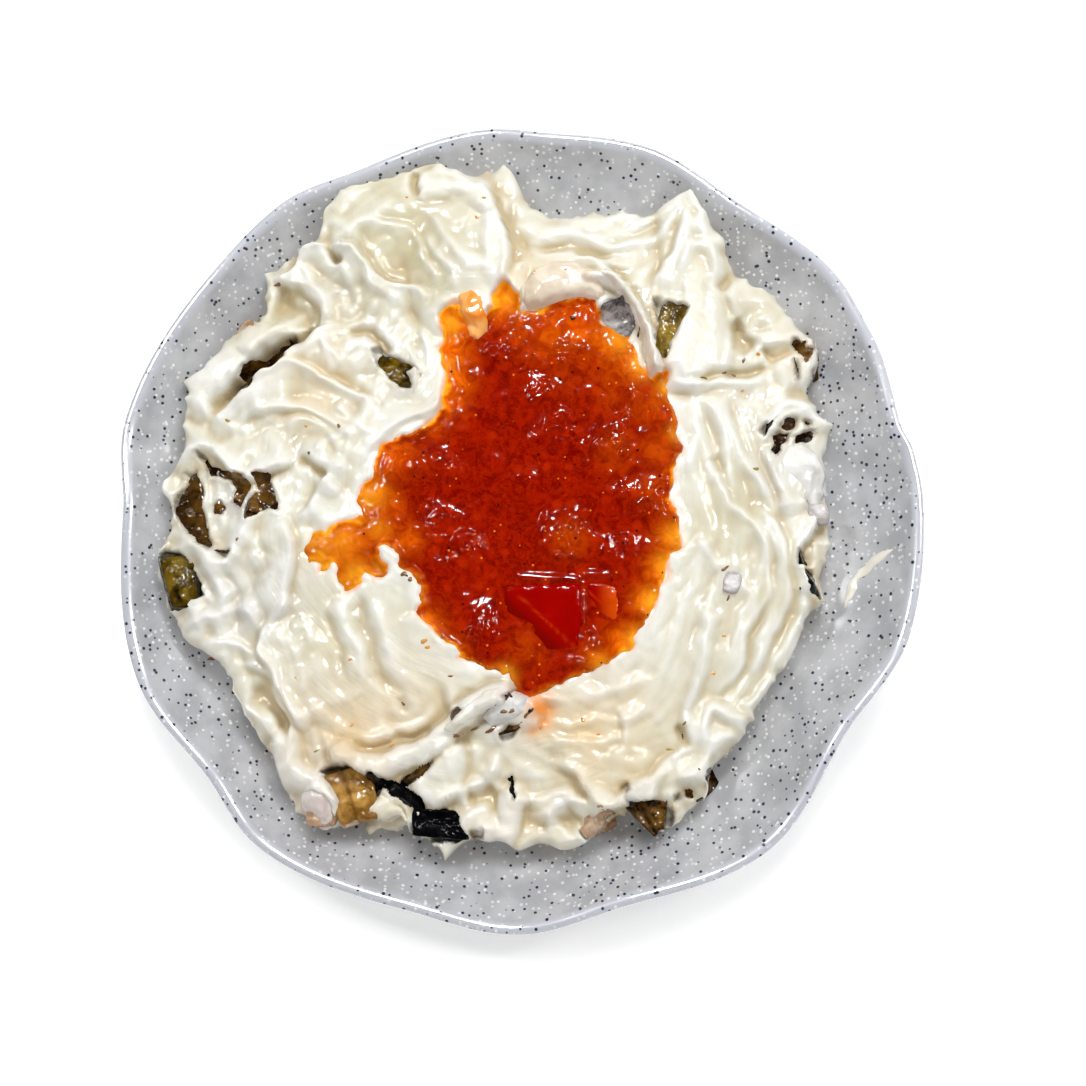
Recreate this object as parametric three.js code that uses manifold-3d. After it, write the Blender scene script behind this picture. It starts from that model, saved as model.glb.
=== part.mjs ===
// A dish of fried eggplant in thick yogurt on a wavy-rimmed speckled plate, with a pool of
// cooked tomato sauce on top. Millimetres, +Z up; the origin is under the middle of the plate,
// at the level its foot stands on. +Y is the side where the mound reaches closest to the rim.
import * as THREE from "three";
import { mergeVertices } from "three/addons/utils/BufferGeometryUtils.js";
import Module from "manifold-3d";

const wasm = await Module();
wasm.setup();

// ---- Driving dimensions ----
const PLATE_RADIUS = 100;
const PLATE_HEIGHT = 21.5;
const FOOT_RADIUS = 50;
const FOOT_WIDTH = 5;
const FOOT_HEIGHT = 1.8;
const FLOOR_LEVEL = 4.8;
const WAVE_START = 60;
const RIM_RISE = 1.6;
const PLATE_SEGMENTS = 66;

const GAP = 0.35;
const MOUND_X = -6;
const MOUND_Y = 5;
const MOUND_REACH = 88;
const EDGE_LEVEL = 18.5;
const CROWN_LEVEL = 29;
const CROWN_CURVE = 2.2;
const EDGE_LIP = 0.6;
const EDGE_WIDTH = 4.2;
// How the width of the turned-down edge varies: [waves round the mound, size in mm, phase].
const EDGE_WAVES = [[5, 1.4, 1], [13, 0.8, 0]];
const YOGURT_STEP = 4.1;
const YOGURT_EDGE_STEP = 3.3;
const EDGE_INSETS = [4.2, 1.5, 0];
const HIDDEN_STEP = 12;

const POOL_X = 8;
const POOL_Y = 4;
const POOL_BED = 25.6;
const POOL_DEPTH = 2.6;
const POOL_FALL = 7;
const SHORE_OUTSIDE = -3;
const SHORE_INSIDE = 2;
const SAUCE_RISE = 3.2;
const SAUCE_SHOULDER = 3.5;
const SAUCE_FILM = 0.3;
const SAUCE_SINK = 0.8;
const SAUCE_STEP = 4.4;
const SAUCE_EDGE_STEP = 3.5;
const SAUCE_INSETS = [1.2, 0];

// ---- Outlines as [angle in degrees, radius in mm] ----
// Crests and dips of the plate's rim, about the plate's middle.
const RIM_WAVE = [
  [9.6, 99], [14, 97.2], [28, 99.3], [37, 100.4], [55, 97.2], [71, 100.5], [85, 99.2],
  [94, 100.6], [113, 98.5], [126, 101.6], [140, 100.4], [165, 102.3], [178, 98.3],
  [203, 101.6], [219, 98], [231, 101.4], [255, 98], [270, 100.2], [286, 96.9], [307, 100.6],
  [327, 95.2], [344, 99.8], [364, 99.7],
];
// The ragged edge of the yogurt, about the mound's middle.
const MOUND_EDGE = [
  [4, 81.5], [13, 84], [19, 82.5], [25, 90], [34, 86.5], [44, 84.5], [50, 87.5], [57, 90],
  [63, 80.5], [70, 77.5], [77, 74], [82, 76], [88, 84], [93, 84], [100, 88], [107, 86.5],
  [114, 88], [119, 86], [124, 80.5], [131, 81], [137, 78], [140.5, 75.5], [144, 78.5],
  [154, 80.5], [163, 81.5], [170, 78.5], [178, 82.4], [183, 81], [192, 85.7], [202, 83.5],
  [211, 78], [218, 79.5], [227, 81.5], [235, 87], [242, 90], [250, 83], [253.5, 79.7],
  [257, 84], [267, 82.8], [277, 85.4], [282, 87], [291, 82.8], [295, 84], [299, 90],
  [305, 89], [310, 84], [317, 83.8], [322, 81.5], [334, 82], [344, 83], [354, 83.6],
];
// Pulled-out tips along that edge: [angle, reach in mm, half width in degrees].
const MOUND_TIPS = [
  [12.9, 3, 1.8], [57.7, 3, 2.2], [88.4, 2.4, 1.6], [134.5, 3.6, 1.4], [158, 4.4, 1.8],
  [237.5, 3, 1.6], [262.5, 5.4, 1.5], [320, 2, 1.2], [343.2, 2, 1.2],
];
// The edge of the sauce, about the pool's middle, with the splash at its left near 190 degrees.
const POOL_EDGE = [
  [2, 29.2], [10, 29.9], [16, 30.5], [22, 33.7], [34, 37.8], [50, 41.5], [60, 45.5],
  [75, 47.8], [80, 53.5], [87, 52], [95, 49.4], [100, 52], [103, 55.8], [107, 49.5],
  [112, 54.5], [117, 56.5], [121, 49.5], [126, 43.5], [131, 38.4], [137, 37], [146, 38],
  [155, 42.7], [165, 44.9], [176, 46], [182, 45.5], [186, 57], [190, 60.6], [195, 58.5],
  [200, 54], [204, 44.5], [209, 39], [218, 41], [235, 42.7], [247, 43.3], [258, 46],
  [268, 45.2], [280, 42.3], [295, 41], [309, 35.7], [333, 33.6], [345, 34], [354, 31.5],
];

// ---- Folds the spoon left in the yogurt ----
// kind: lobe (a rounded dollop), flap (a fold with one steep side, on the right of its path where
// shape is 1 and on the left where it is -1), ridge, groove and scoop. Each has its half width,
// its height or depth, its shape (for a lobe, how fast its side falls) and its path in plan.
const FOLD_ENDS = 0.2;
const RIDGE_END_SHARE = 0.1;
const RIDGE_CURVE = 1.4;
const FLAP_SLOPE = 2.2;
const FLAP_FACE = 1.6;
const FOLDS = [
  // The dollop at the top left.
  ["lobe", 15, 5.0, 0.9, [[-42, 76], [-31, 81], [-17, 78], [-12, 61]]],
  ["flap", 9, 3.4, -1, [[-8, 88], [-7, 81], [-4, 76], [-3, 63], [-4, 57]]],
  ["ridge", 3, 2.0, 0, [[-49, 72], [-42, 73], [-32, 81], [-27, 82]]],
  ["scoop", 5.5, 1.8, 0, [[-35, 77], [-30, 77], [-24, 73]]],
  ["ridge", 2.6, 2.2, 0, [[-36, 72], [-30, 70], [-24, 61]]],
  ["lobe", 5.5, 2.4, 0.7, [[-21, 87], [-15, 86], [-10, 83]]],
  ["groove", 2, 2.2, 0, [[-24, 90], [-22, 84], [-9, 81]]],
  // Folds at the upper left.
  ["flap", 10, 3.4, -1, [[-51, 71], [-41, 68], [-32, 60], [-26, 57]]],
  ["lobe", 4.5, 2.2, 0.7, [[-59, 66], [-54, 68], [-49, 68]]],
  ["ridge", 2.6, 3.4, 0, [[-64, 64], [-54, 63], [-48, 57], [-48, 51]]],
  ["scoop", 6, 3.2, 0, [[-59, 58], [-52, 54]]],
  ["lobe", 6.5, 3.2, 0.7, [[-81, 33], [-74, 40], [-66, 47], [-57, 50]]],
  ["groove", 2.4, 4.0, 0, [[-79, 29], [-64, 40], [-51, 52]]],
  ["flap", 14, 3.8, -1, [[-73, 31], [-61, 41], [-50, 50], [-44, 52]]],
  ["lobe", 8, 1.8, 0.8, [[-36, 60], [-34, 51], [-44, 44]]],
  // The long smooth fold left of the pool.
  ["flap", 11, 2.6, -1, [[-78, 21], [-76, 26], [-64, 35], [-49, 38], [-39, 31], [-32, 29]]],
  ["flap", 6, 1.8, -1, [[-16, 39], [-19, 30], [-31, 23], [-35, 17]]],
  // Round the large piece of eggplant at the left, and the flank below it.
  ["ridge", 3, 3.0, 0, [[-88, 3], [-88, 12], [-80, 20], [-73, 18]]],
  ["ridge", 2.6, 2.8, 0, [[-87, -2], [-76, -8], [-69, -4], [-66, 9]]],
  ["flap", 7, 3.2, 1, [[-79, 19], [-71, 14], [-65, 13], [-55, 19]]],
  ["lobe", 4.5, 1.6, 0.7, [[-50, 18], [-46, 15], [-47, 10]]],
  ["lobe", 5.2, 2.0, 0.7, [[-58, 0], [-58, -7], [-65, -21]]],
  ["ridge", 3, 2.2, 0, [[-87, -4], [-77, -12], [-74, -18], [-79, -22]]],
  ["groove", 2.6, 1.4, 0, [[-67, -28], [-70, -23], [-60, -15]]],
  // The broad swath below the splash, and the skirt at the lower left.
  ["flap", 14, 3.8, 1, [[-40, 18], [-51, 6], [-56, -11], [-62, -31], [-54, -46], [-52, -52]]],
  ["ridge", 2.2, 1.2, 0, [[-43, -15], [-43, -28], [-37, -48]]],
  ["scoop", 5, 1.8, 0, [[-32, -52], [-24, -48], [-15, -43]]],
  ["groove", 2, 2.4, 0, [[-67, -40], [-61, -44], [-59, -56]]],
  ["ridge", 2.4, 2.0, 0, [[-60, -39], [-55, -46], [-58, -58]]],
  ["lobe", 4.6, 3.2, 0.7, [[-57, -55], [-49, -64], [-43, -65]]],
  // The rope of yogurt along the bottom.
  ["lobe", 3.8, 4.4, 0.7, [[-42, -57], [-35, -60], [-22, -55], [-10, -45], [3, -46]]],
  ["lobe", 5.4, 3.8, 0.7, [[-20, -64], [-17, -59]]],
  ["ridge", 2.4, 2.6, 0, [[-21, -70], [-13, -65], [-2, -57]]],
  ["scoop", 4, 1.6, 0, [[-14, -68], [-5, -65]]],
  ["lobe", 4.2, 2.8, 0.7, [[-6, -76], [-2, -73], [-1, -69]]],
  ["ridge", 2.4, 1.8, 0, [[5, -74], [14, -68], [21, -71], [20, -76]]],
  ["flap", 10, 3.0, 1, [[7, -60], [17, -64], [28, -69], [39, -59]]],
  // The scoop at the lower right, and the right flank.
  ["ridge", 2.4, 1.8, 0, [[34, -37], [38, -48], [39, -59]]],
  ["ridge", 2.4, 2.4, 0, [[57, -48], [49, -47], [44, -55]]],
  ["ridge", 2.4, 2.0, 0, [[55, -52], [47, -55], [41, -64]]],
  ["ridge", 2.4, 2.4, 0, [[46, -12], [45, -18], [46, -32], [45, -40]]],
  ["ridge", 2.4, 2.0, 0, [[47, 32], [54, 22], [64, 4]]],
  ["ridge", 2.4, 1.8, 0, [[47, 18], [52, 5], [65, -12]]],
  ["ridge", 2.4, 1.3, 0, [[56, -8], [60, -15], [51, -43]]],
  ["flap", 9, 3.8, -1, [[75, 2], [70, -7], [75, -19]]],
  ["ridge", 2.4, 2.6, 0, [[60, 22], [67, 29], [74, 26]]],
  ["flap", 6, 2.4, -1, [[73, 15], [71, 5], [72, 2]]],
  // The top and the dollop at the upper right.
  ["ridge", 3, 1.3, 0, [[-2, 78], [5, 73], [26, 73], [36, 74]]],
  ["lobe", 7.2, 3.2, 0.6, [[5, 59], [12, 61], [19, 59]]],
  ["lobe", 2.6, 3.2, 0.7, [[21, 61], [30, 55], [34, 39]]],
  ["scoop", 4, 3.2, 0, [[23, 54], [27, 50]]],
  ["lobe", 10, 4.2, 0.9, [[43, 81], [46, 60], [43, 41]]],
  ["groove", 2, 2.2, 0, [[51, 59], [56, 61]]],
  ["scoop", 3.6, 3.0, 0, [[54, 51], [61, 44]]],
  ["lobe", 5.5, 2.4, 0.7, [[58, 58], [67, 45], [68, 36]]],
  ["ridge", 2.4, 1.6, 0, [[38, 35], [49, 34], [56, 34]]],
  ["lobe", 4, 2.0, 0.7, [[73, 42], [73, 37]]],
];

// ---- Pieces of eggplant: where they lie, their size, turn and how far they stand proud ----
const EGGPLANT = {
  left_large: { at: [-72, 5.5], size: [26, 24, 12], turn: -25, proud: 1.6, flesh: "brown" },
  left_edge: { at: [-84, -14], size: [11, 16, 9], turn: 10, proud: 2.6, flesh: "olive" },
  left_strip: { at: [-64, 41], size: [18, 7, 8], turn: 48, proud: 2.0, flesh: "brown" },
  left_bit: { at: [-69, 50], size: [6, 5, 5], turn: 30, proud: 1.4, flesh: "tan" },
  crown_left: { at: [-30, 39], size: [11, 11, 8], turn: -20, proud: 0.9, flesh: "olive" },
  foot_golden: { at: [-40, -67], size: [15, 14, 9], turn: 15, proud: 1.8, flesh: "golden" },
  foot_pale: { at: [-47.5, -71.5], size: [8, 6, 6], turn: 0, proud: 1.6, flesh: "tan" },
  foot_skin: { at: [-29, -65.5], size: [17, 5, 7], turn: -36, proud: 1.8, flesh: "skin" },
  foot_black: { at: [-18.5, -73.5], size: [15, 8, 7], turn: -8, proud: 2.0, flesh: "skin" },
  foot_small: { at: [-25, -60.5], size: [9, 5, 5], turn: 20, proud: 1.4, flesh: "brown" },
  below_pool: { at: [-6, -47.5], size: [20, 10, 8], turn: 15, proud: 1.2, flesh: "brown" },
  front_slit: { at: [-1, -64.5], size: [3.5, 9, 5], turn: 0, proud: 1.0, flesh: "skin" },
  front_tan: { at: [19.5, -73], size: [9, 7, 6], turn: 25, proud: 1.6, flesh: "tan" },
  front_dark: { at: [33, -71.5], size: [13, 10, 8], turn: 20, proud: 1.8, flesh: "olive" },
  front_right: { at: [44.5, -63.5], size: [9, 8, 7], turn: 40, proud: 1.6, flesh: "brown" },
  right_upper: { at: [69, 22], size: [15, 10, 8], turn: 15, proud: 1.4, flesh: "brown" },
  right_knob: { at: [74, 1.5], size: [5.5, 5.5, 5.5], turn: 0, proud: 1.6, flesh: "tan" },
  right_dark: { at: [71.5, -13], size: [5.5, 12, 6], turn: 5, proud: 1.4, flesh: "skin" },
  right_top: { at: [72.5, 40.5], size: [8, 11, 7], turn: 12, proud: 1.8, flesh: "brown" },
  pool_right: { at: [38.5, 46], size: [9, 20, 8], turn: -8, proud: 1.4, flesh: "golden" },
  pool_top: { at: [25, 51.5], size: [10, 11, 7], turn: 20, proud: 1.2, flesh: "tan" },
  right_small: { at: [53, -15], size: [4.5, 6.5, 5], turn: -15, proud: 1.2, flesh: "tan" },
};
const FLESH_COLOURS = {
  brown: 0x6b4626, olive: 0x54401a, tan: 0xb98f66, golden: 0x9a6b32, skin: 0x1c1a18,
};
const POCKET_GAP = 0.35;
const LARGE_CHUNK = 20;
const EGGPLANT_SQUARENESS = 0.45;
const DENT_DEPTH = 0.09;

// ---- Pieces of tomato standing in the sauce ----
const TOMATO = {
  large: { at: [7.1, -24.3], size: [18.5, 16.3, 5], turn: 2, proud: 1.5 },
  right: { at: [21.4, -21.0], size: [7.6, 10.4, 5], turn: -4, proud: 1.2 },
};
const TOMATO_SQUARENESS = 0.7;

// ---- Colours and roughness of the plain materials ----
const PLATE_LOOK = [0xa9abae, 0.25];
const YOGURT_LOOK = [0xf3efe2, 0.5];
const SAUCE_LOOK = [0xc8380a, 0.25];
const TOMATO_LOOK = [0xb32408, 0.3];
const EGGPLANT_ROUGHNESS = 0.45;

// ---- Small helpers ----
const degrees = THREE.MathUtils.degToRad;
const smoothstep = THREE.MathUtils.smoothstep;
const clamp = THREE.MathUtils.clamp;
const lerp = THREE.MathUtils.lerp;

// The radius of an outline at an angle, eased between its listed points.
function outlineRadius(outline, angle) {
  const first = outline[0][0];
  const turn = THREE.MathUtils.euclideanModulo(THREE.MathUtils.radToDeg(angle) - first, 360) + first;
  const closed = [...outline, [outline[0][0] + 360, outline[0][1]]];
  const next = closed.findIndex(([at]) => at > turn);
  const [fromAngle, fromRadius] = closed[next - 1];
  const [toAngle, toRadius] = closed[next];
  const share = smoothstep(turn, fromAngle, toAngle);
  return lerp(fromRadius, toRadius, share);
}

function moundRadius(angle) {
  let radius = outlineRadius(MOUND_EDGE, angle);
  const turn = THREE.MathUtils.radToDeg(angle);
  for (const [at, reach, width] of MOUND_TIPS) {
    const away = Math.abs(THREE.MathUtils.euclideanModulo(turn - at + 180, 360) - 180);
    radius += reach * Math.exp(-away / width);
  }
  return radius;
}

const poolRadius = (angle) => outlineRadius(POOL_EDGE, angle);

// A closed solid from a geometry, and a geometry from a solid.
function toSolid(geometry) {
  const bare = geometry.clone();
  bare.deleteAttribute("normal");
  bare.deleteAttribute("uv");
  const merged = mergeVertices(bare, 1e-4);
  const triVerts = new Uint32Array(merged.index.array);
  const vertProperties = new Float32Array(merged.attributes.position.array);
  return new wasm.Manifold(new wasm.Mesh({ numProp: 3, vertProperties, triVerts }));
}

function toGeometry(solid) {
  const mesh = solid.getMesh();
  const geometry = new THREE.BufferGeometry();
  geometry.setAttribute("position", new THREE.BufferAttribute(mesh.vertProperties, 3));
  geometry.setIndex(new THREE.BufferAttribute(mesh.triVerts, 1));
  geometry.computeVertexNormals();
  return geometry;
}

// The largest body of a solid, without the crumbs a cut leaves.
function mainBody(solid) {
  const bodies = solid.decompose();
  return bodies.reduce((best, body) => (body.volume() > best.volume() ? body : best));
}

// ---- The plate ----
// Half section from the axis under the plate, out over the rim and back along the inside.
const PLATE_UNDERSIDE = [
  [0, FOOT_HEIGHT], [FOOT_RADIUS - FOOT_WIDTH - 1.5, FOOT_HEIGHT], [FOOT_RADIUS - FOOT_WIDTH, 0],
  [FOOT_RADIUS, 0], [FOOT_RADIUS + 2, 1.1], [66, 2.7], [80, 6.7], [91, 12.6], [97.6, 17.9],
];
const PLATE_LIP = [[PLATE_RADIUS, 20.2], [99.7, 21.2], [98.4, PLATE_HEIGHT], [96.8, 20.7]];
const PLATE_INSIDE = [
  [93.5, 17.2], [87, 12.6], [79, 9], [68, 6.3], [54, 5], [0, FLOOR_LEVEL],
];

// How far the wavy rim moves a point of the round plate, outwards and upwards.
function rimShift(angle, radius) {
  const share = smoothstep(radius, WAVE_START, PLATE_RADIUS);
  const crest = outlineRadius(RIM_WAVE, angle) - PLATE_RADIUS;
  return { out: crest * share, up: -crest * share * share * RIM_RISE / 4 };
}

function plateGeometry() {
  const profile = [...PLATE_UNDERSIDE, ...PLATE_LIP, ...PLATE_INSIDE];
  const points = profile.map(([radius, height]) => new THREE.Vector2(radius, height));
  const geometry = new THREE.LatheGeometry(points, PLATE_SEGMENTS);
  geometry.rotateX(Math.PI / 2);
  const position = geometry.attributes.position;
  for (let i = 0; i < position.count; i += 1) {
    const radius = Math.hypot(position.getX(i), position.getY(i));
    const angle = Math.atan2(position.getY(i), position.getX(i));
    const shift = rimShift(angle, radius);
    position.setX(i, Math.cos(angle) * (radius + shift.out));
    position.setY(i, Math.sin(angle) * (radius + shift.out));
    position.setZ(i, position.getZ(i) + shift.up);
  }
  return toGeometry(toSolid(geometry));
}

// The level of the plate's inner face at a point.
function plateTop(x, y) {
  const angle = Math.atan2(y, x);
  const reach = Math.hypot(x, y);
  let radius = reach;
  for (let pass = 0; pass < 4; pass += 1) {
    radius = reach - rimShift(angle, radius).out;
  }
  const inside = [[96.8, 20.7], ...PLATE_INSIDE];
  const inner = inside.findIndex(([at]) => at <= radius);
  if (inner <= 0) {
    return inside[0][1];
  }
  const [outerRadius, outerLevel] = inside[inner - 1];
  const [innerRadius, innerLevel] = inside[inner];
  const level = THREE.MathUtils.mapLinear(radius, innerRadius, outerRadius, innerLevel, outerLevel);
  return level + rimShift(angle, radius).up;
}

// ---- The yogurt ----
// Each fold's path as a fine line, made once.
const FOLD_LINES = FOLDS.map(([kind, width, height, shape, path]) => {
  const curve = new THREE.SplineCurve(path.map(([x, y]) => new THREE.Vector2(x, y)));
  const line = curve.getPoints(5 * (path.length - 1));
  const xs = line.map((point) => point.x);
  const ys = line.map((point) => point.y);
  const reach = 3 * width;
  const low = new THREE.Vector2(Math.min(...xs) - reach, Math.min(...ys) - reach);
  const high = new THREE.Vector2(Math.max(...xs) + reach, Math.max(...ys) + reach);
  return { kind, width, height, shape, line, box: new THREE.Box2(low, high) };
});

// Where a point lies by a line: its distance to the left, and its share of the way along.
function besideLine(line, x, y) {
  let best = { across: Infinity, along: 0 };
  for (let i = 0; i + 1 < line.length; i += 1) {
    const start = line[i];
    const stepX = line[i + 1].x - start.x;
    const stepY = line[i + 1].y - start.y;
    const length2 = stepX * stepX + stepY * stepY;
    const share = clamp(((x - start.x) * stepX + (y - start.y) * stepY) / length2, 0, 1);
    const awayX = x - start.x - share * stepX;
    const awayY = y - start.y - share * stepY;
    const away = Math.hypot(awayX, awayY);
    if (away < Math.abs(best.across)) {
      const side = stepX * awayY - stepY * awayX >= 0 ? 1 : -1;
      best = { across: side * away, along: (i + share) / (line.length - 1) };
    }
  }
  return best;
}

function foldHeight(fold, x, y) {
  const { across, along } = besideLine(fold.line, x, y);
  const away = Math.abs(across) / fold.width;
  const ends = smoothstep(along, 0, FOLD_ENDS) * smoothstep(1 - along, 0, FOLD_ENDS);
  if (fold.kind === "lobe") {
    return fold.height * Math.max(1 - away * away, 0) ** fold.shape;
  }
  if (fold.kind === "flap") {
    const inward = across * fold.shape;
    const slope = clamp(1 - inward / (FLAP_SLOPE * fold.width), 0, 1) ** 2;
    const face = clamp(1 + inward / FLAP_FACE, 0, 1);
    return fold.height * ends * (inward >= 0 ? slope : face);
  }
  if (fold.kind === "ridge") {
    return fold.height * lerp(RIDGE_END_SHARE, 1, ends) * Math.exp(-(away ** RIDGE_CURVE));
  }
  return -fold.height * ends * Math.exp(-(away ** 2));
}

// A slow wobble that keeps the folds from running dead smooth.
function wobble(x, y) {
  const shiftX = Math.sin(0.31 * x + 0.17 * y + 0.4) + 0.6 * Math.sin(0.11 * x - 0.43 * y + 2.1);
  const shiftY = Math.sin(0.14 * x - 0.33 * y + 1.7) + 0.6 * Math.sin(0.47 * x + 0.13 * y + 0.9);
  return [x + 0.7 * shiftX, y + 0.7 * shiftY];
}

function yogurtTop(x, y) {
  const moundX = x - MOUND_X;
  const moundY = y - MOUND_Y;
  const moundAngle = Math.atan2(moundY, moundX);
  const reach = Math.hypot(moundX, moundY);
  const inset = moundRadius(moundAngle) - reach;
  const dome = 1 - Math.min(reach / MOUND_REACH, 1) ** CROWN_CURVE;
  let level = EDGE_LEVEL + (CROWN_LEVEL - EDGE_LEVEL) * dome;
  const [bentX, bentY] = wobble(x, y);
  const point = new THREE.Vector2(bentX, bentY);
  for (const fold of FOLD_LINES) {
    if (fold.box.containsPoint(point)) {
      level += foldHeight(fold, bentX, bentY);
    }
  }
  level = lerp(level, poolBed(x, y), smoothstep(poolInset(x, y), SHORE_OUTSIDE, SHORE_INSIDE));
  const width = EDGE_WAVES.reduce(
    (sum, [waves, size, phase]) => sum + size * Math.sin(waves * moundAngle + phase),
    EDGE_WIDTH,
  );
  const rise = Math.sqrt(1 - (1 - clamp(inset / width, 0, 1)) ** 2);
  const foot = plateTop(x, y) + GAP + EDGE_LIP;
  return foot + Math.max(level - foot, 1) * rise;
}

// ---- The pool of sauce ----
function poolInset(x, y) {
  return poolRadius(Math.atan2(y - POOL_Y, x - POOL_X)) - Math.hypot(x - POOL_X, y - POOL_Y);
}

function poolBed(x, y) {
  const inset = Math.max(poolInset(x, y), 0);
  return POOL_BED - POOL_DEPTH * (1 - Math.exp(-inset / POOL_FALL));
}

// Soft lumps of cooked tomato under the sauce's skin.
function sauceLumps(x, y) {
  const broad = Math.sin(0.42 * x + 0.9) * Math.sin(0.36 * y + 0.2);
  const fine = Math.sin(0.83 * x - 0.5 * y) * Math.sin(0.71 * y + 0.44 * x + 1.3);
  return 0.5 * broad + 0.35 * fine;
}

function sauceTop(x, y) {
  const inset = Math.max(poolInset(x, y), 0);
  const rise = SAUCE_RISE * (1 - Math.exp(-inset / SAUCE_SHOULDER));
  const lumps = sauceLumps(x, y) * smoothstep(inset, 1, 6);
  return yogurtTop(x, y) + GAP + SAUCE_FILM + rise + lumps;
}

// ---- Solids from a plan outline ----
// Adds the triangles between two rings of vertices that run the same way round.
function stitch(triangles, from, to) {
  let a = 0;
  let b = 0;
  const fromEnd = from.length === 1 ? 0 : from.length;
  const toEnd = to.length === 1 ? 0 : to.length;
  while (a < fromEnd || b < toEnd) {
    const p = from[a % from.length];
    const q = to[b % to.length];
    const stepTo = b < toEnd && (a >= fromEnd || (b + 1) / to.length <= (a + 1) / from.length);
    if (stepTo) {
      b += 1;
      triangles.push(p, q, to[b % to.length]);
    } else {
      a += 1;
      triangles.push(p, q, from[a % from.length]);
    }
  }
}

// A solid between an upper and a lower face over an outline: rings of points from the middle of
// the upper face, out to the edge and back to the middle of the lower face.
function slabGeometry({ x, y, radiusAt, step, edgeStep, insets, top, bottom }) {
  const positions = [];
  const triangles = [];
  let mean = 0;
  for (let i = 0; i < 72; i += 1) {
    mean += radiusAt(degrees(5 * i)) / 72;
  }
  const edgeCount = Math.round(2 * Math.PI * mean / edgeStep);
  const addRing = (count, reachAt, level) => {
    const ring = [];
    for (let i = 0; i < count; i += 1) {
      const angle = 2 * Math.PI * i / count;
      const reach = reachAt(angle);
      const px = x + Math.cos(angle) * reach;
      const py = y + Math.sin(angle) * reach;
      ring.push(positions.length / 3);
      positions.push(px, py, level(px, py));
    }
    return ring;
  };
  const innerRing = (share, size, level) => {
    const reachAt = (angle) => share * lerp(mean, radiusAt(angle) - insets[0], share ** 2);
    const count = Math.max(6, Math.round(2 * Math.PI * mean * share / size));
    return addRing(share === 0 ? 1 : count, reachAt, level);
  };
  const rings = [];
  const topRings = Math.round((mean - insets[0]) / step);
  for (let k = 0; k < topRings; k += 1) {
    rings.push(innerRing(k / topRings, step, top));
  }
  for (const inset of insets) {
    rings.push(addRing(edgeCount, (angle) => radiusAt(angle) - inset, top));
  }
  rings.push(addRing(edgeCount, radiusAt, bottom));
  const bottomRings = Math.round((mean - insets[0]) / HIDDEN_STEP);
  for (let k = bottomRings; k >= 0; k -= 1) {
    rings.push(innerRing(k / bottomRings, HIDDEN_STEP, bottom));
  }
  for (let k = 0; k + 1 < rings.length; k += 1) {
    stitch(triangles, rings[k], rings[k + 1]);
  }
  const geometry = new THREE.BufferGeometry();
  geometry.setAttribute("position", new THREE.Float32BufferAttribute(positions, 3));
  geometry.setIndex(triangles);
  return geometry;
}

function yogurtSolid() {
  return toSolid(slabGeometry({
    x: MOUND_X, y: MOUND_Y, radiusAt: moundRadius, step: YOGURT_STEP, edgeStep: YOGURT_EDGE_STEP,
    insets: EDGE_INSETS, top: yogurtTop, bottom: (x, y) => plateTop(x, y) + GAP,
  }));
}

function sauceSolid() {
  return toSolid(slabGeometry({
    x: POOL_X, y: POOL_Y, radiusAt: poolRadius, step: SAUCE_STEP, edgeStep: SAUCE_EDGE_STEP,
    insets: SAUCE_INSETS, top: sauceTop, bottom: (x, y) => yogurtTop(x, y) - SAUCE_SINK,
  }));
}

// ---- Chunks of eggplant and tomato ----
// A rounded block with uneven sides: a ball pushed out towards the corners of its box.
function chunkGeometry(size, seed, detail, squareness) {
  const geometry = new THREE.IcosahedronGeometry(1, detail);
  const position = geometry.attributes.position;
  const point = new THREE.Vector3();
  for (let i = 0; i < position.count; i += 1) {
    point.fromBufferAttribute(position, i);
    const longest = Math.max(Math.abs(point.x), Math.abs(point.y), Math.abs(point.z));
    const boxy = lerp(1, 1 / longest, squareness);
    const dent = Math.sin(3.1 * point.x + seed) * Math.sin(2.7 * point.y + 2 * seed)
      + 0.6 * Math.sin(4.3 * point.z + 3 * seed + 2 * point.x);
    point.multiplyScalar(boxy * (1 + DENT_DEPTH * dent));
    const longestNow = Math.max(Math.abs(point.x), Math.abs(point.y), Math.abs(point.z), 1);
    point.divideScalar(longestNow);
    position.setXYZ(i, point.x * size[0] / 2, point.y * size[1] / 2, point.z * size[2] / 2);
  }
  return geometry;
}

// A chunk in its place, and the slightly larger pocket that it lies in.
function placedChunk({ at, size, turn, proud }, seed, level, detail, squareness) {
  const [x, y] = at;
  const build = (grow) => {
    const grown = size.map((side) => side + 2 * grow);
    const scaled = chunkGeometry(size, seed, detail, squareness);
    scaled.scale(grown[0] / size[0], grown[1] / size[1], grown[2] / size[2]);
    return scaled.rotateZ(degrees(turn));
  };
  const chunk = build(0);
  const position = chunk.attributes.position;
  let middle = level(x, y) + proud - size[2] / 2;
  for (let i = 0; i < position.count; i += 1) {
    const floor = plateTop(x + position.getX(i), y + position.getY(i)) + GAP;
    middle = Math.max(middle, floor - position.getZ(i));
  }
  chunk.translate(x, y, middle);
  const pocket = build(POCKET_GAP).translate(x, y, middle);
  return { chunk: toSolid(chunk), pocket: toSolid(pocket) };
}

// ---- The whole dish ----
const dish = new THREE.Group();

function addPiece(name, geometry, [color, roughness]) {
  const material = new THREE.MeshStandardMaterial({ color, roughness, metalness: 0 });
  const mesh = new THREE.Mesh(geometry, material);
  mesh.name = name;
  dish.add(mesh);
}

addPiece("plate", plateGeometry(), PLATE_LOOK);

let yogurt = yogurtSolid();
let sauce = sauceSolid().subtract(yogurt.translate(0, 0, GAP));
const pockets = [];

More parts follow.
